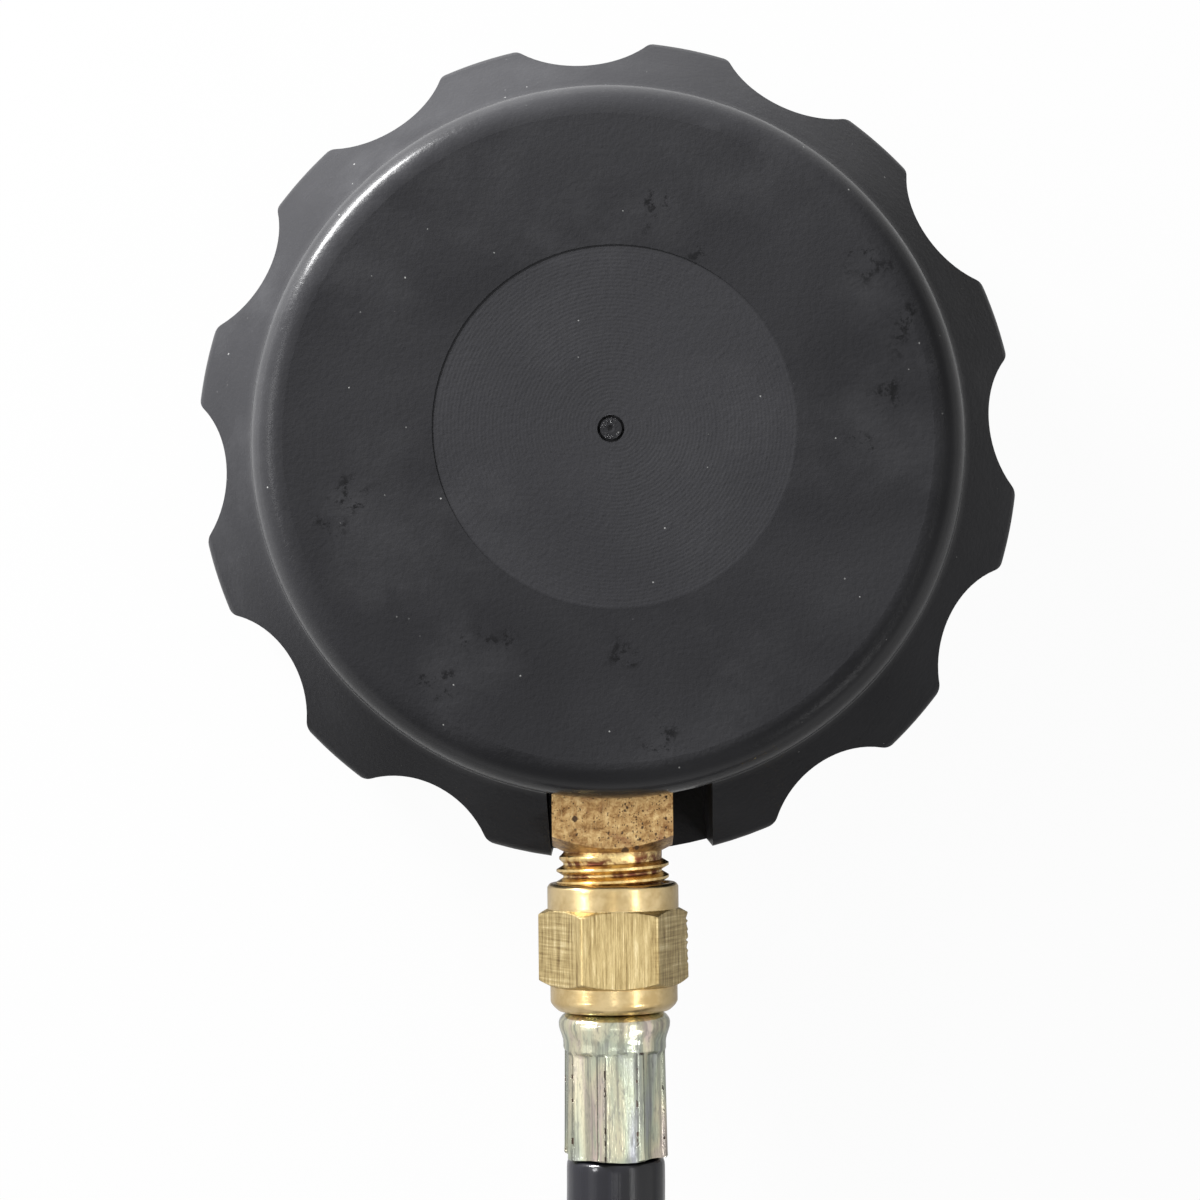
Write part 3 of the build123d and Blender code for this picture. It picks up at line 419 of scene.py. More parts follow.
# Coil tie: black nylon strap round the coil's turns, moulded in one piece with the latch on top.
# Fine teeth run across the strap.
nylon = new_finish("tie_nylon")
tie_place = nylon.place()
tie_teeth = nylon.node("ShaderNodeTexWave", {"bands_direction": "Z"}, {"Vector": tie_place, "Scale": 180.0})
tie_grain = nylon.noise(tie_place, 900.0)
nylon.done(
    Base_Color=nylon.blend(tie_grain, tone(20, 20, 22), tone(44, 44, 47)),
    Roughness=tie_grain * 0.2 + 0.35,
    Normal=nylon.bump(tie_teeth + tie_grain * 0.2, 0.0002),
)
dress(nylon.holder, "coil_tie")


# Boot: black rubber moulding with a scalloped grip, stretched over the steel case and slotted for the stem.
# The mould's turned marks, its gate, a worn bloom, dark smears and pale dust lie on its back, and handling
# has polished the shoulder. The gate's pit carries painted shade. A smear is a place and a radius, in
# millimetres.
boot = new_finish("boot_rubber")
where = boot.place()
x, y, z = boot.split(where)
pad_x = 0.0008
pad_y = 0.0012
pad_r = 0.0216
pad_edge = 0.0004
pad_z = 0.0374
turned_pitch = 0.00045
back_z = 0.0370
from_pad = ((x - pad_x) ** 2 + (y - pad_y) ** 2) ** 0.5
on_pad = from_pad.rise(pad_r, pad_r - pad_edge) * z.rise(back_z, pad_z)
turned_marks = from_pad.work("SINE", from_pad * (2 * math.pi / turned_pitch)) * on_pad
grain = boot.noise(where, 1500.0, 4.0, 0.6)
mottle = boot.noise(where, 70.0, 5.0, 0.6)
clouds = boot.noise(where, 22.0, 3.0, 0.5, 0.6)
smears = [
    (5.8, 26.8, 2.6), (9.9, 22.6, 2.0), (31.1, 20.0, 3.4), (35.1, 12.2, 3.0), (32.6, 5.1, 2.4),
    (29.6, -0.7, 2.2), (-29.9, -6.2, 3.0), (-33.4, -9.5, 2.6), (-15.4, -23.8, 2.4), (-20.1, -29.8, 2.8),
    (1.1, -25.7, 2.6), (5.6, -35.7, 3.6), (-11.8, -23.8, 2.0),
]
smear_fray = 0.009
ragged = boot.node("ShaderNodeTexNoise", None, {"Vector": where, "Scale": 260.0, "Detail": 4.0}, "Color")
ragged_x, ragged_y = boot.split(ragged)[:2]
smeared = 0.0
for smear_x, smear_y, smear_r in smears:
    across = x - smear_x / 1000 + (ragged_x - 0.5) * smear_fray
    upward = y - smear_y / 1000 + (ragged_y - 0.5) * smear_fray
    smeared = ((across**2 + upward**2) ** 0.5).rise(smear_r / 1000, smear_r / 3000) + smeared
rubbed = boot.noise(where, 620.0, 5.0, 0.75, 0.2).rise(0.50, 0.60)
smeared = smeared.work("MINIMUM", smeared, 1.0) * rubbed * z.rise(back_z - 0.001, back_z)
fine_dust = boot.specks(where, 760.0, 0.10, 0.04, 0.11) * mottle.rise(0.46, 0.56)
dust = boot.specks(where, 330.0, 0.34, 0.016, 0.042) + fine_dust
gate_x = 0.0003
gate_y = 0.001
gate_r = 0.0017
gate_pit_r = 0.0005
shoulder_low = 0.0322
shoulder_high = 0.0376
from_gate = ((x - gate_x) ** 2 + (y - gate_y) ** 2) ** 0.5
in_gate = from_gate.rise(gate_r, gate_r - 0.0002) * on_pad
gate_pit_and_shade = from_gate.rise(gate_pit_r, gate_pit_r / 5) * on_pad
on_shoulder = z.rise(shoulder_low, shoulder_low + 0.0016) * z.rise(shoulder_high, shoulder_high - 0.001)
boot_tone = boot.blend(clouds.rise(0.3, 0.7), tone(40, 40, 42), tone(50, 50, 52))
boot_tone = boot.blend(mottle.rise(0.45, 0.75) * 0.5, boot_tone, tone(61, 61, 63))
boot_tone = boot.blend(on_pad * 0.24, boot_tone, tone(74, 74, 77))
boot_tone = boot.blend(smeared * 0.85, boot_tone, tone(24, 24, 25))
# painted shade: the gate's pit is darkened a further step beyond the gate's own tone
boot_tone = boot.blend(in_gate * 0.45 + gate_pit_and_shade * 0.45, boot_tone, tone(22, 22, 23))
boot_tone = boot.blend(dust.work("MINIMUM", dust, 1.0) * 0.6, boot_tone, tone(190, 190, 188))
boot_relief = boot.bump(turned_marks * (0.3 + clouds), 0.000006, 0.5)
boot_relief = boot.bump(grain * 0.6 + mottle, 0.00022, 0.35, boot_relief)
boot_relief = boot.bump(rubbed * in_gate - gate_pit_and_shade, 0.0002, 0.6, boot_relief)
boot_smooth = smeared * 0.06 + on_pad * 0.05 + on_shoulder * 0.08
boot.done(
    Base_Color=boot_tone,
    Roughness=mottle * 0.12 + clouds * 0.08 + 0.18 - boot_smooth,
    Normal=boot_relief,
    Specular_IOR_Level=0.055,
    Coat_Weight=on_shoulder * 0.45,
    Coat_Roughness=0.2,
)
dress(boot.holder, "boot")


# Socket: one brass forging with the square stem that holds the gauge.
# Its skin is tarnished and pitted; the thread was cut after and shines at the crests.
stem_brass = new_finish("stem_brass")
where = stem_brass.place()
x, y, z = stem_brass.split(where)
patina = stem_brass.noise(where, 900.0, 6.0, 0.75, 0.3)
stains = stem_brass.noise(where, 190.0, 5.0, 0.65, 0.6)
fray = {"Vector": where, "Scale": 2600.0, "Detail": 2.0}
frayed = stem_brass.node("ShaderNodeTexNoise", None, fray, "Color")
frayed = stem_brass.node("ShaderNodeVectorMath", {"operation": "SCALE"}, {0: frayed, "Scale": 0.0003})
frayed = stem_brass.node("ShaderNodeVectorMath", {"operation": "ADD"}, {0: where, 1: frayed})
small_pits = stem_brass.specks(frayed, 1500.0, 0.60, 0.10, 0.30) * stains.rise(0.42, 0.52)
dots = stem_brass.specks(frayed, 3600.0, 0.40, 0.14, 0.34) * stains.rise(0.36, 0.5)
small_pits = small_pits.work("MAXIMUM", small_pits, dots)
scuffs = stem_brass.noise(stem_brass.stretched(where, 5200, 420, 900), 1.0, 4.0, 0.7)
deep_pits = 0.0
for pit_x, pit_y, pit_r in [(-4.5, -45.1, 0.42), (1.5, -49.0, 0.55), (2.9, -48.6, 0.3), (3.2, -47.6, 0.2)]:
    reach = ((x - pit_x / 1000) ** 2 + (y - pit_y / 1000) ** 2 + (patina - 0.5) * 3e-7) ** 0.5
    deep_pits = reach.rise(pit_r / 1000, pit_r / 1600) * z.rise(0.0295, 0.0305) + deep_pits
stem_tone = stem_brass.ramp(
    patina,
    (0.28, tone(84, 54, 32)),
    (0.42, tone(142, 108, 68)),
    (0.55, tone(180, 148, 100)),
    (0.70, tone(212, 186, 136)),
)
stem_tone = stem_brass.blend(stains.rise(0.52, 0.70) * 0.6, stem_tone, tone(122, 78, 58))
dark = small_pits.work("MAXIMUM", small_pits, deep_pits)
stem_tone = stem_brass.blend(scuffs.rise(0.52, 0.72) * 0.45, stem_tone, tone(196, 172, 126))
stem_tone = stem_brass.blend(dark * 0.85, stem_tone, tone(56, 32, 22))
stem_relief = stem_brass.bump(patina * 0.6 + scuffs * 0.4 - dark, 0.00012, 0.8)
stem_brass.done(
    Base_Color=stem_tone,
    Metallic=1.0 - dark * 0.7,
    Roughness=patina * 0.3 + dark * 0.3 + 0.26,
    Normal=stem_relief,
)
dress(stem_brass.holder, "socket")


def thread_ridge(axes, start, pitch, turns, root_r, crest_r, fade):
    """A thread: a ridge's section (root, flank, crest, flank, root) carried along a helix. The height rises
    from the root at its start over fade turns. axes are a point on the axis, the axis and two directions
    square to it."""
    centre, along, first, second = axes
    gone = np.linspace(0, turns, int(turns * 96))
    height = np.clip(gone / fade, 0, 1)
    flank = (crest_r - root_r) * math.tan(math.radians(30))
    crest_half = max(pitch / 2 - flank - 0.08 * pitch, 0.05 * pitch)
    half = np.array([crest_half, crest_half + flank, pitch / 2])
    offsets = np.r_[-half[::-1], 0, half]
    levels = np.array([0, 0, 1, 1.03, 1, 0, 0])
    radius = root_r + (crest_r - root_r) * levels * height[:, None]
    angle = 2 * np.pi * gone[:, None]
    out = np.cos(angle)[..., None] * first + np.sin(angle)[..., None] * second
    station = start + pitch * gone[:, None] + offsets
    ridge = centre + along * station[..., None] + out * radius[..., None]
    inner = centre + along * station[:, ::-1, None] + out * (root_r - thread_buried)
    return np.concatenate([ridge, inner], 1)


stem_axes = [np.array(v, float) for v in ((0, 0, stem_z), (0, -1, 0), (1, 0, 0), (0, 0, 1))]
thread_start = 0.0494
thread_pitch = 0.0015
thread_turns = 6.4
thread_fade = 0.85
thread_root_r = 0.00602
thread_crest_r = 0.00685
thread_buried = 0.0002
cut_brass = new_finish("cut_brass")
where = cut_brass.place()
x, y, z = cut_brass.split(where)
from_axis = (x**2 + (z - stem_z) ** 2) ** 0.5
tarnish = cut_brass.noise(where, 520.0, 5.0, 0.7, 0.4)
in_root = from_axis.rise(thread_root_r + 0.0004, thread_root_r + 0.00004)
thread_tone = cut_brass.blend(tarnish.rise(0.42, 0.64), tone(232, 204, 142), tone(202, 164, 102))
thread_tone = cut_brass.blend(in_root * tarnish.rise(0.36, 0.6), thread_tone, tone(104, 60, 44))
cut_brass.done(
    Base_Color=thread_tone,
    Metallic=1.0,
    Roughness=tarnish * 0.25 + in_root * 0.15 + 0.12,
    Normal=cut_brass.bump(tarnish, 0.0001, 0.6),
)
thread_grid = thread_ridge(
    stem_axes, thread_start, thread_pitch, thread_turns, thread_root_r, thread_crest_r, thread_fade
)
sewn("stem_thread", thread_grid, "gauge", cut_brass.holder)


# Union nut: turned from hexagon bar, a collar at each end, free to spin behind the hose's flange.
# The collars are bright from the tool, the flats show the bar's drawn lines, and one corner is bitten.
# Stations are distances from the gauge's middle along the stem.
nut_start = 0.0532
nut_end = 0.0687
nut_turn = math.radians(-5.3)
apothem = 0.008
corner_r = apothem / math.cos(math.pi / 6)
corner_worn = 0.00006
edge_round = 0.0001
chamfer_slope = 2
front_chamfer = 0.0562
front_collar_r = 0.008
front_round = 0.00035
rear_chamfer = 0.0656
rear_collar_r = 0.00775
rear_round_start = 0.0674
rear_round = 0.0011
hidden_r = 0.0066
nut_bore_r = 0.00695
nut_mouth_r = 0.00758
shoulder_start = 0.0639
shoulder_bore_r = 0.0043
bite_middle = 0.0600
bite_half = 0.0034
bite_depth = 0.00026
bite_width = 0.11
bite_pitch = 0.0009


def soft_min(first, second, blend):
    """The smaller of the two, rounded over where they meet."""
    near = np.clip(blend - np.abs(first - second), 0, None)
    return np.minimum(first, second) - near**2 / (4 * blend)


def nut_surface(rows, columns=384):
    """Each row is a station, a turned radius and 1 on the outside. There, the radius is the smallest of the
    hexagon's and its two chamfer cones' and at least the turned one; the bore and the ends are turned. One
    corner is lowered by a cosine along it, for the teeth that bit it. The second grid is 1 on the hexagon."""
    station, turned_r, outside = (np.array(rows)[:, [k]] for k in range(3))
    angle = np.linspace(0, 2 * np.pi, columns, endpoint=False)[None, :] + nut_turn
    facing = (angle - nut_turn) % (np.pi / 3) - np.pi / 6
    flat = apothem / np.cos(facing)
    front_cone = apothem - 0.0002 + (station - front_chamfer) * chamfer_slope
    rear_cone = rear_collar_r + (rear_chamfer - station) * chamfer_slope
    hexagon = soft_min(flat, np.full_like(flat, corner_r - corner_worn), 2 * corner_worn)
    hexagon = soft_min(soft_min(hexagon, front_cone, edge_round), rear_cone, edge_round)
    corner = np.exp(-(((angle - nut_turn + np.pi) % (2 * np.pi) - np.pi) / bite_width) ** 2)
    ragged = station - 0.0567 + 0.00014 * np.sin(station * 5200)
    teeth = (0.5 + 0.5 * np.cos(ragged * 2 * np.pi / bite_pitch)) * (0.7 + 0.3 * np.sin(station * 2100))
    bitten = np.exp(-(((station - bite_middle) / bite_half) ** 6))
    hexagon = hexagon - bite_depth * corner * teeth * bitten
    radius = np.where(outside > 0, np.maximum(hexagon, turned_r), turned_r)
    grid = np.stack([radius * np.cos(angle), -station + 0 * angle, stem_z + radius * np.sin(angle)], -1)
    drawn = np.where(outside > 0, np.clip((hexagon - turned_r) / 0.00005, 0, 1), 0)
    return grid, drawn + 0 * angle


def stations(start, end, step):
    return np.linspace(start, end, max(2, int(round(abs(end - start) / step)) + 1))


nut_rows = [(nut_start, nut_bore_r, 0), (nut_start, 0.0074, 0), (nut_start, nut_mouth_r, 0)]
for s in stations(nut_start + 0.0001, nut_end - 0.0001, 0.00013):
    collar = hidden_r
    if s < front_chamfer:
        collar = front_collar_r - front_round * np.clip(1 - (s - nut_start) / 0.0005, 0, 1) ** 1.5
    if s > rear_chamfer - 0.0006:
        collar = rear_collar_r - rear_round * np.clip((s - rear_round_start) / 0.0013, 0, 1) ** 1.7
    nut_rows.append((s, collar, 1))
nut_rows += [(nut_end, 0.0064, 0), (nut_end, 0.0056, 0), (nut_end, shoulder_bore_r, 0)]
nut_rows += [(shoulder_start, bored, 0) for bored in (shoulder_bore_r, 0.0056, nut_bore_r)]
nut_rows.append((0.0585, nut_bore_r, 0))
nut_grid, nut_drawn = nut_surface(nut_rows)

nut_brass = new_finish("nut_brass")
where = nut_brass.place()
x, y, z = nut_brass.split(where)
drawn = nut_brass.node("ShaderNodeAttribute", {"attribute_name": "drawn"}, out="Fac")
bar_lines = nut_brass.noise(nut_brass.stretched(where, 4600, 90, 4600), 1.0, 4.0, 0.7)
bar_scuffs = nut_brass.noise(nut_brass.stretched(where, 1500, 260, 1500), 1.0, 5.0, 0.75)
cross_lines = nut_brass.noise(nut_brass.stretched(where, 120, 2800, 120), 1.0, 3.0, 0.6)
side_patch = (x * x).rise(0.0000160, 0.0000360)
tool_rings = nut_brass.noise(nut_brass.stretched(where, 20, 4200, 20), 1.0, 3.0, 0.6)
haze = nut_brass.noise(where, 260.0, 4.0, 0.6)
flat_tone = nut_brass.ramp(
    bar_lines * 0.52 + bar_scuffs * 0.42 + (cross_lines - 0.5) * side_patch * 0.4 + 0.03,
    (0.34, tone(116, 95, 62)),
    (0.44, tone(164, 143, 98)),
    (0.54, tone(196, 175, 126)),
    (0.64, tone(230, 214, 170)),
)
collar_tone = nut_brass.blend(haze.rise(0.4, 0.65), tone(216, 192, 144), tone(192, 166, 116))
nut_tone = nut_brass.blend(drawn, collar_tone, flat_tone)
lines = bar_lines * 0.9 + bar_scuffs * 0.5 + cross_lines * side_patch * 0.5
nut_relief = nut_brass.bump(lines * drawn + tool_rings * (1 - drawn) * 0.5, 0.00006, 0.8)
nut_brass.done(
    Base_Color=nut_tone,
    Metallic=1.0,
    Roughness=drawn * 0.16 + bar_scuffs * 0.12 + haze * 0.08 + 0.14,
    Normal=nut_relief,
)
nut = sewn("nut", nut_grid, "union_nut", nut_brass.holder, along=True, marks={"drawn": nut_drawn})
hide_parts("union_nut")


# Ferrules: zinc-plated steel sleeves crimped on the hose's ends in eight jaws, which leave eight flats
# between standing ridges. The plating shows passing colours and is chipped along the ridges, and the ridges'
# shoulders carry painted shade. The bulge's stations are distances from the neck.
ferrule_length = 0.0176
bulge = [
    (0.0, 0.00425), (0.0, 0.005), (0.0, 0.0056), (0.0002, 0.00598), (0.0005, 0.00637), (0.0009, 0.00668),
    (0.0013, 0.00679), (0.0018, 0.00676), (0.0023, 0.00663), (0.0028, 0.00645), (0.0033, 0.0063),
]
barrel_start = 0.0038
barrel_r = 0.00625
barrel_flare = 0.0145
sleeve_bore_r = 0.00526
neck_bore_r = 0.00425
neck_wall = 0.0024
flat_r = 0.00576
flat_hollow = 0.00012
ridge_start = math.radians(16.2)
ridge_round = math.radians(3.6)
press_start = 0.0044
press_run = 0.0006
mouth_run = 0.001
mouth_lift = 0.0001
jaw_wander = 0.00012


def smooth(share):
    """A share held between 0 and 1, its ends eased: 3 times its square less 2 times its cube."""
    share = np.clip(share, 0, 1)
    return share * share * (3 - 2 * share)


def ferrule_surface(neck, first_flat, columns=400):
    """A sleeve: a turned bulge, then flats pressed below a faintly flared round. Each flat is a chord that is
    hollowed by a cosine; between two flats a ridge of the round is left standing with rounded shoulders. The
    second grid is 1 on the ridges."""
    along, first, second = stem_axes[1:]
    barrel = [(barrel_start, barrel_r)]
    for s in stations(barrel_start + 0.0002, ferrule_length - 0.0002, 0.00024):
        barrel.append((s, barrel_r + (s - barrel_start) * barrel_flare))
    mouth = [(ferrule_length, 0.0063), (ferrule_length, 0.0058), (ferrule_length, sleeve_bore_r)]
    bore = [(0.0150, sleeve_bore_r), (neck_wall, sleeve_bore_r), (neck_wall, neck_bore_r)]
    rows = np.array(bulge + barrel + mouth + bore)
    station, turned_r = rows[:, [0]], rows[:, [1]]
    angle = np.linspace(0, 2 * np.pi, columns, endpoint=False)[None, :]
    facing = (angle - first_flat + np.pi / 8) % (np.pi / 4) - np.pi / 8
    pressed = flat_r / np.cos(facing) - flat_hollow * np.cos(facing * 5.4)
    ridge = smooth((np.abs(facing) - ridge_start) / ridge_round)
    press = smooth((station - press_start - jaw_wander * np.sin(3 * angle + 0.8)) / press_run)
    lift = mouth_lift * np.clip((station - 0.0166) / mouth_run, 0, 1)
    flats = pressed + lift + (turned_r - pressed) * ridge
    outer = (turned_r > 0.0059) & (station > 0.0039)
    radius = np.where(outer, turned_r + (np.minimum(flats, turned_r) - turned_r) * press, turned_r)
    out = np.cos(angle)[..., None] * first + np.sin(angle)[..., None] * second
    near_mouth = np.clip((station - 0.0165) / mouth_run, 0, 1)
    ends = station + jaw_wander * (np.sin(5 * angle + 1.0) * near_mouth - (station > 0.0174))
    grid = np.array(neck) + along * ends[..., None] + out * radius[..., None]
    return grid, np.where(outer, ridge * press, 0)


zinc = new_finish("zinc_plate")
where = zinc.place()
ridge_mark = zinc.node("ShaderNodeAttribute", {"attribute_name": "ridge"}, out="Fac")
bands = zinc.noise(zinc.stretched(where, 820, 30, 820), 1.0, 3.0, 0.6)
hues = zinc.noise(zinc.stretched(where, 260, 60, 260), 1.0, 3.0, 0.5, 0.5)
haze = zinc.noise(zinc.stretched(where, 2600, 700, 2600), 1.0, 4.0, 0.6)
peel = zinc.noise(zinc.stretched(where, 2600, 240, 2600), 1.0, 4.0, 0.65)
chip_field = zinc.noise(where, 1100.0, 3.0, 0.5)
ridge_shade_and_chips = ridge_mark.rise(0.05, 0.4) * ridge_mark.rise(0.98, 0.7)
chips = chip_field.rise(0.56, 0.60) * ridge_shade_and_chips
zinc_tone = zinc.ramp(
    hues,
    (0.26, tone(172, 174, 178)),
    (0.38, tone(190, 196, 174)),
    (0.48, tone(214, 208, 180)),
    (0.58, tone(204, 188, 178)),
    (0.68, tone(184, 196, 164)),
    (0.80, tone(206, 186, 182)),
)
zinc_tone = zinc.blend(haze.rise(0.50, 0.70) * 0.40, zinc_tone, tone(104, 106, 108))
zinc_tone = zinc.blend(bands.rise(0.47, 0.60) * 0.5, zinc_tone, tone(112, 112, 108))
# painted shade: the ridges' shoulders are darkened, where the chips also lie
zinc_tone = zinc.blend(ridge_shade_and_chips * 0.5, zinc_tone, tone(66, 64, 62))
zinc_tone = zinc.blend(chips, zinc_tone, tone(52, 36, 26))
zinc.done(
    Base_Color=zinc_tone,
    Metallic=1.0 - chips * 0.6,
    Roughness=haze * 0.14 + chips * 0.4 + 0.09,
    Normal=zinc.bump(peel * 0.7 + haze * 0.2 - chips, 0.00008, 0.7),
)


def sleeve(name, neck, first_flat):
    grid, ridges = ferrule_surface(neck, math.radians(first_flat))
    return sewn(name, grid, "gauge", zinc.holder, along=True, marks={"ridge": ridges})


fitting_neck = (0.0828959, -0.1772435, coil_low)
gauge_sleeve = sleeve("gauge_sleeve", (0, -0.06875, stem_z), 38.5)
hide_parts("gauge_ferrule")
engine_sleeve = sleeve("engine_sleeve", fitting_neck, 10)
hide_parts("engine_ferrule")


# Nipple and engine fitting: the nipple is zinc-plated steel, mostly inside the ferrule. The fitting is
# turned from brass hexagon bar, with a collar that seats and a cut thread for the engine's oil port.
# Stations are distances from the ferrule's neck.
dress(zinc.holder, "hose_nipple")
fitting_apothem = 0.007
fitting_corner_r = fitting_apothem / math.cos(math.pi / 6)
hex_face = 0.00005
hex_back = 0.00905
spigot_start = -0.0024
spigot_r = 0.0041
chamfer_r = 0.0069
collar_back = 0.01105
collar_r = 0.006
oil_bore_r = 0.0016
thread_tip = 0.02105
engine_pitch = 0.001
engine_root_r = 0.00434
engine_crest_r = 0.00495


def fitting_surface(neck, columns=192):
    """Each row is a station, a turned radius and its kind. Kind 1 is the smaller of the hexagon and its
    chamfer cones; kind 2 is a helical ridge on the root, cut by the cone at the tip. The second grid is 1 on
    the hexagon."""
    rows = [(spigot_start, oil_bore_r, 0), (spigot_start, spigot_r, 0)]
    rows += [(hex_face, spigot_r, 0), (hex_face, chamfer_r, 0)]
    rows += [(s, 0, 1) for s in stations(hex_face, hex_back, 0.00018)]
    rows += [(hex_back, chamfer_r, 0), (hex_back, collar_r, 0), (collar_back - 0.0002, collar_r, 0)]
    rows += [(collar_back, collar_r - 0.0002, 0), (collar_back, engine_root_r, 0)]
    rows.append((collar_back + 0.0006, engine_root_r, 0))
    rows += [(s, 0, 2) for s in stations(collar_back + 0.0007, thread_tip, engine_pitch / 12)]
    rows += [(thread_tip, 0.0038, 0), (thread_tip, 0.002, 0), (thread_tip - 0.0004, oil_bore_r, 0)]
    station, turned_r, kind = (np.array(rows)[:, [k]] for k in range(3))
    angle = np.linspace(0, 2 * np.pi, columns, endpoint=False)[None, :]
    facing = (angle + np.pi / 6) % (np.pi / 3) - np.pi / 6
    cone = fitting_apothem - 0.0001 + np.minimum(station - hex_face, hex_back - station) * 2
    flat = np.minimum(fitting_apothem / np.cos(facing), fitting_corner_r - 0.00005)
    hexagon = soft_min(flat, cone, edge_round)
    phase = (station / engine_pitch - angle / (2 * np.pi)) % 1
    ridge = np.clip(1.35 * (1 - np.abs(2 * phase - 1)) - 0.15, 0, 1)
    tip_cone = engine_root_r - 0.0003 + (thread_tip - station)
    thread = np.minimum(engine_root_r + (engine_crest_r - engine_root_r) * ridge, tip_cone)
    radius = np.where(kind == 1, hexagon, np.where(kind == 2, thread, turned_r))
    grid = np.stack([radius * np.sin(angle), station + 0 * angle, radius * np.cos(angle)], -1)
    return grid + neck, np.where(kind == 1, 1.0, 0.0) + 0 * angle


end_grid, end_drawn = fitting_surface(np.array(fitting_neck))
end_marks = {"drawn": end_drawn}
engine_end = sewn("engine_end", end_grid, "gauge", nut_brass.holder, along=True, marks=end_marks)
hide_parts("engine_fitting")


# Case and bezel: drawn steel, black enamel over it, the bezel rolled over the window and the case's flange.
# The enamel has a slight orange-peel skin.
enamel = new_finish("case_enamel")
where = enamel.place()
skin = enamel.noise(where, 900.0, 3.0)
scuffs = enamel.noise(where, 90.0, 6.0, 0.7)
enamel.done(
    Base_Color=enamel.blend(scuffs.rise(0.45, 0.7), tone(24, 24, 26), tone(52, 52, 55)),
    Roughness=scuffs * 0.2 + 0.22,
    Normal=enamel.bump(skin, 0.00005, 0.5),
    Coat_Weight=0.3,
)
dress(enamel.holder, "case", "bezel")


# Window and gasket: a flat glass disc, pressed on a black rubber ring by the bezel.
# The glass has a few faint wipe marks.
glass = new_finish("window_glass")
wipes = glass.noise(glass.stretched(glass.place(), 60, 240, 60), 1.0, 5.0, 0.6)
glass.done(
    Base_Color=glass.blend(wipes, (0.96, 0.98, 0.97), (1.0, 1.0, 1.0)),
    Roughness=wipes.rise(0.5, 0.8) * 0.06,
    Transmission_Weight=1.0,
    IOR=1.45,
)
dress(glass.holder, "window")
seal = new_finish("seal_rubber")
seal_grain = seal.noise(seal.place(), 1400.0)
seal.done(
    Base_Color=seal.blend(seal_grain, tone(22, 22, 23), tone(46, 46, 47)),
    Roughness=seal_grain * 0.2 + 0.5,
    Normal=seal.bump(seal_grain, 0.0001, 0.5),
)
dress(seal.holder, "window_gasket")


# Dial: a white enamelled disc printed with a black outer scale and a red inner one.
# Plain numbers count the marks; the print lies a hair proud of the enamel.
dial_face_z = 0.0112
print_sunk = 0.00001
print_thick = 0.00003
dial_low = -45.0
dial_sweep = 270.0
outer_top = 140
inner_step = 14.504 / outer_top
dial_white = new_finish("dial_white")
dial_grain = dial_white.noise(dial_white.place(), 300.0, 5.0)
dial_white.done(
    Base_Color=dial_white.blend(dial_grain, tone(238, 238, 234), tone(248, 248, 246)),
    Roughness=dial_grain * 0.1 + 0.35,
    Normal=dial_white.bump(dial_grain, 0.00003, 0.3),
)
dress(dial_white.holder, "dial")


def print_finish(name, dark, light):
    """Screen-printed ink between two tones."""
    ink = new_finish(name)
    ink_grain = ink.noise(ink.place(), 1800.0, 4.0)
    ink.done(Base_Color=ink.blend(ink_grain, dark, light), Roughness=ink_grain * 0.2 + 0.4)
    return ink.holder


black_ink = print_finish("dial_ink_black", tone(18, 18, 20), tone(38, 38, 40))
red_ink = print_finish("dial_ink_red", tone(158, 26, 24), tone(186, 38, 32))


def printed(name, corners, faces, ink):
    """Flat print on the dial's face, from corners on the face and the faces over them."""
    mesh = bpy.data.meshes.new(name)
    mesh.from_pydata([(px, py, dial_face_z - print_sunk) for px, py in corners], [], faces)
    mesh.materials.append(ink)
    piece = bpy.data.objects.new(name, mesh)
    bpy.context.collection.objects.link(piece)
    thick = piece.modifiers.new("print", "SOLIDIFY")
    thick.thickness = print_thick
    thick.offset = 1
    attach(piece, "gauge")


def scale_marks(shares, inner, outer, half_width):
    """Radial bars: each share of the sweep carries one bar from the inner to the outer radius."""
    angle = np.radians(dial_low + dial_sweep * np.array(shares))[:, None]
    out = np.stack([np.cos(angle), np.sin(angle)], -1)
    side = np.stack([-np.sin(angle), np.cos(angle)], -1)
    reach = np.array([inner, inner, outer, outer])[None, :, None]
    hand = np.array([-1, 1, 1, -1])[None, :, None] * half_width
    corners = (out * reach + side * hand).reshape(-1, 2)
    return corners, np.arange(len(corners)).reshape(-1, 4)[:, ::-1].tolist()


def scale_arc(start, end, inner, outer, count=120):
    """A band of the dial between two radii, over a part of the sweep."""
    angle = np.radians(dial_low + dial_sweep * np.linspace(start, end, count))
    ring = np.stack([np.cos(angle), np.sin(angle)], -1)
    corners = np.vstack([ring * inner, ring * outer])
    left = np.arange(count - 1)
    return corners, np.stack([left, left + 1, left + 1 + count, left + count], -1).tolist()


def joined(*parts):
    """Several prints as one: their corners one after another, the faces counted on."""
    corners, faces = [], []
    for part_corners, part_faces in parts:
        faces += [[index + sum(len(c) for c in corners) for index in face] for face in part_faces]
        corners.append(np.asarray(part_corners))
    return np.vstack(corners), faces


def numeral(text, share, radius, height):
    """The outline faces of a number, upright as the dial's reader sees it, centred on its mark's radius."""
    writing = bpy.data.curves.new("number", "FONT")
    writing.body = text
    writing.size = height
    writing.align_x = "CENTER"
    writing.align_y = "CENTER"
    writer = bpy.data.objects.new("number", writing)
    shape = bpy.data.meshes.new_from_object(writer)
    flat = np.empty(3 * len(shape.vertices))
    shape.vertices.foreach_get("co", flat)
    flat = flat.reshape(-1, 3)[:, :2] * (-1, 1)
    faces = [list(polygon.vertices) for polygon in shape.polygons]
    bpy.data.objects.remove(writer)
    bpy.data.curves.remove(writing)
    bpy.data.meshes.remove(shape)
    angle = math.radians(dial_low + dial_sweep * share)
    return flat + (radius * math.cos(angle), radius * math.sin(angle)), faces


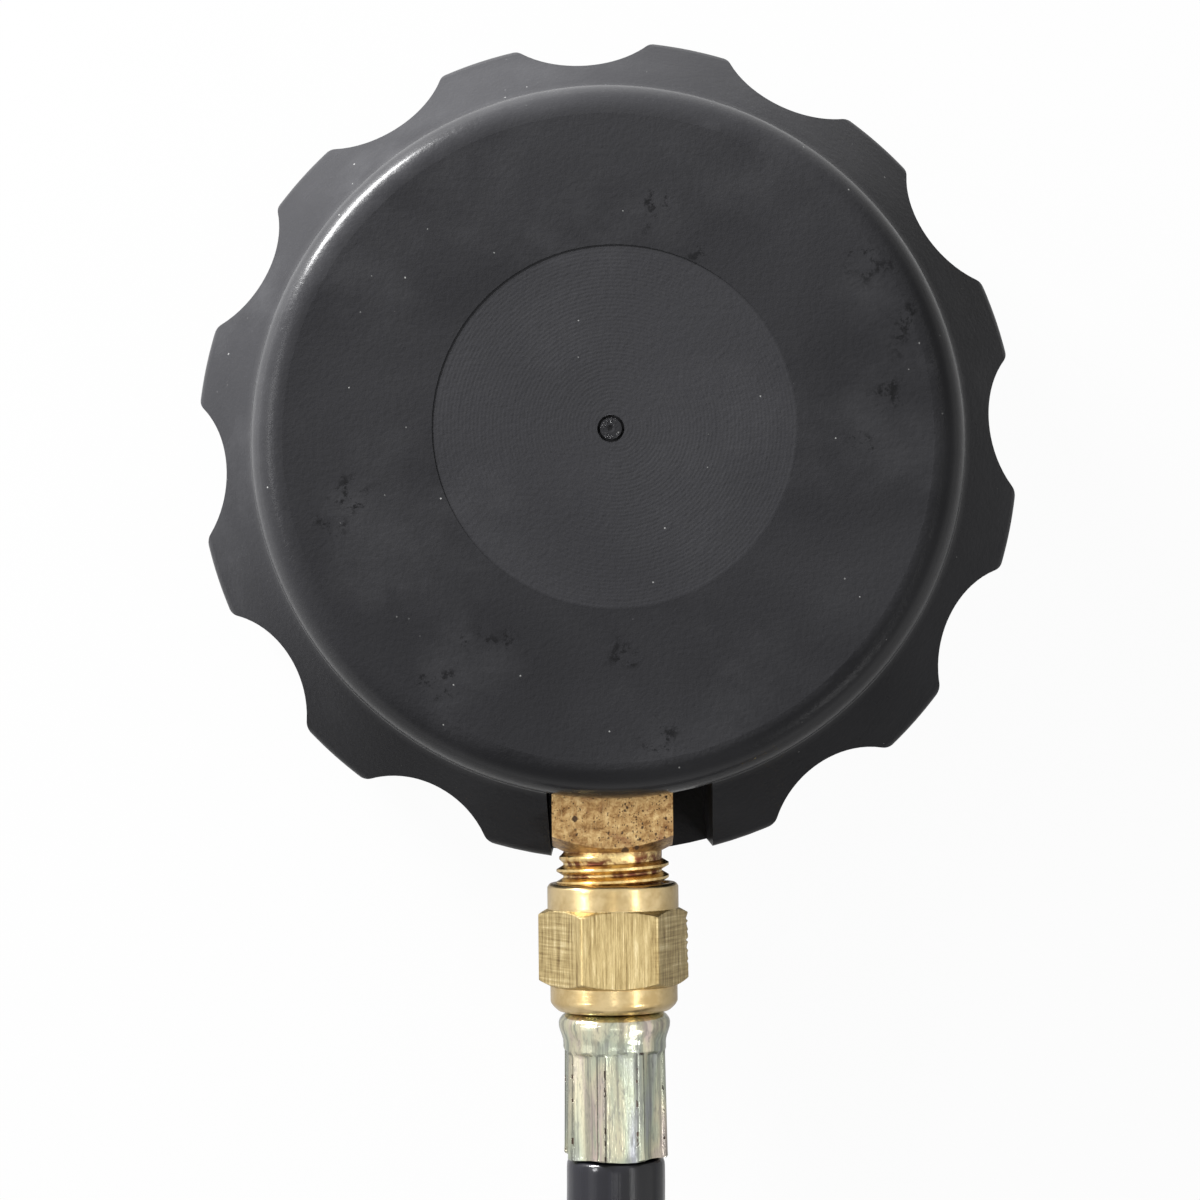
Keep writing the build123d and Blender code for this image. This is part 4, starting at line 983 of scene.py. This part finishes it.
outer_long = [k / 7 for k in range(8)]
outer_short = [k / 28 for k in range(29)]
inner_long = [k * inner_step for k in range(10)]
inner_short = [k * inner_step / 5 for k in range(48)]
outer_print = joined(
    scale_arc(0, 1, 0.0322, 0.0325),
    scale_marks(outer_long, 0.0322, 0.0355, 0.0003),
    scale_marks(outer_short, 0.0322, 0.0342, 0.00014),
    *[numeral(str(20 * k), k / 7, 0.0292, 0.0046) for k in range(8)],
)
inner_print = joined(
    scale_arc(0, 9 * inner_step, 0.0232, 0.0234),
    scale_marks(inner_long, 0.0212, 0.0234, 0.00022),
    scale_marks(inner_short, 0.0222, 0.0234, 0.0001),
    *[numeral(str(k), k * inner_step, 0.0188, 0.0034) for k in range(10)],
)
printed("outer_scale", *outer_print, black_ink)
printed("inner_scale", *inner_print, red_ink)


# Pointer: a stamped aluminium blade, painted black, on a turned brass hub pushed on the arbor.
# The zero stop and the small screws are plain bright steel.
paint = new_finish("pointer_black")
paint_grain = paint.noise(paint.place(), 1200.0)
paint.done(
    Base_Color=paint.blend(paint_grain, tone(14, 14, 15), tone(34, 34, 36)),
    Roughness=paint_grain * 0.2 + 0.38,
    Normal=paint.bump(paint_grain, 0.00004, 0.4),
)
dress(paint.holder, "pointer")

small_steel = new_finish("small_steel")
steel_lines = small_steel.noise(small_steel.stretched(small_steel.place(), 900, 3200, 900), 1.0, 4.0, 0.6)
small_steel.done(
    Base_Color=small_steel.blend(steel_lines, tone(168, 170, 172), tone(206, 207, 208)),
    Metallic=1.0,
    Roughness=steel_lines * 0.2 + 0.2,
    Normal=small_steel.bump(steel_lines, 0.00003, 0.5),
)
dress(
    small_steel.holder,
    "zero_stop_pin",
    "dial_screws",
    "case_screws",
    "movement_screws",
    "pillar_screws",
    "pinion_arbor",
    "sector_arbor",
    "link_pin",
)


# Movement: stamped and turned brass, sealed in the case behind the dial; it never weathers.
# The hairspring and the sensing tube are bronze. The tube bends between the socket and its tip.
clean_brass = new_finish("movement_brass")
where = clean_brass.place()
rolled = clean_brass.noise(clean_brass.stretched(where, 400, 3000, 400), 1.0, 4.0, 0.6)
dulled = clean_brass.noise(where, 140.0, 4.0)
clean_brass.done(
    Base_Color=clean_brass.blend(dulled.rise(0.35, 0.7), tone(222, 188, 112), tone(198, 158, 84)),
    Metallic=1.0,
    Roughness=rolled * 0.2 + dulled * 0.1 + 0.16,
    Normal=clean_brass.bump(rolled, 0.00004, 0.5),
)
dress(
    clean_brass.holder,
    "movement_front_plate",
    "movement_back_plate",
    "movement_pillars",
    "sector_gear",
    "link",
    "pointer_hub",
    "restrictor_screw",
    "tube_tip",
)
bronze = new_finish("tube_bronze")
where = bronze.place()
annealed = bronze.noise(where, 120.0, 5.0, 0.6, 0.6)
bronze.done(
    Base_Color=bronze.blend(annealed.rise(0.35, 0.65), tone(196, 140, 92), tone(164, 104, 66)),
    Metallic=1.0,
    Roughness=annealed * 0.2 + 0.24,
    Normal=bronze.bump(bronze.noise(where, 1500.0), 0.00003, 0.4),
)
dress(bronze.holder, "hairspring")
tube_bend_r = 0.0281
tube_level = 0.0225
tube_half_width = 0.0017
tube_half_straight = 0.0033
tube_wall = 0.00045
tube_root = -84
tube_end = 193


def tube_surface(first_angle, last_angle, rings=150, columns=40):
    """A flattened tube bent to an arc. Its section is two half circles with straight sides between them; the
    inside is the same section, smaller by the wall."""
    turned = np.radians(np.linspace(first_angle, last_angle, rings))[:, None]
    angle = (np.arange(columns) + 0.5) * 2 * np.pi / columns
    skins = []
    for half_width in (tube_half_width, tube_half_width - tube_wall):
        radius = tube_bend_r + half_width * np.cos(angle)
        level = tube_level + half_width * np.sin(angle) + tube_half_straight * np.sign(np.sin(angle))
        skins.append(np.stack([np.cos(turned) * radius, np.sin(turned) * radius, level + 0 * turned], -1))
    return np.concatenate([skins[0], skins[1][::-1]])


tube = sewn("flat_tube", tube_surface(tube_root, tube_end), None, bronze.holder, along=True)
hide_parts("sensing_tube")
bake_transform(tube)


# Seal washer: a soft copper ring, squeezed between the stem's end and the nipple's flange by the union nut.
# Handling leaves it a dull haze.
copper = new_finish("washer_copper")
where = copper.place()
copper_haze = copper.noise(where, 800.0)
copper.done(
    Base_Color=copper.blend(copper_haze, tone(184, 112, 84), tone(206, 136, 104)),
    Metallic=1.0,
    Roughness=copper_haze * 0.25 + 0.25,
    Normal=copper.bump(copper_haze, 0.00004, 0.5),
)
dress(copper.holder, "seal_washer")
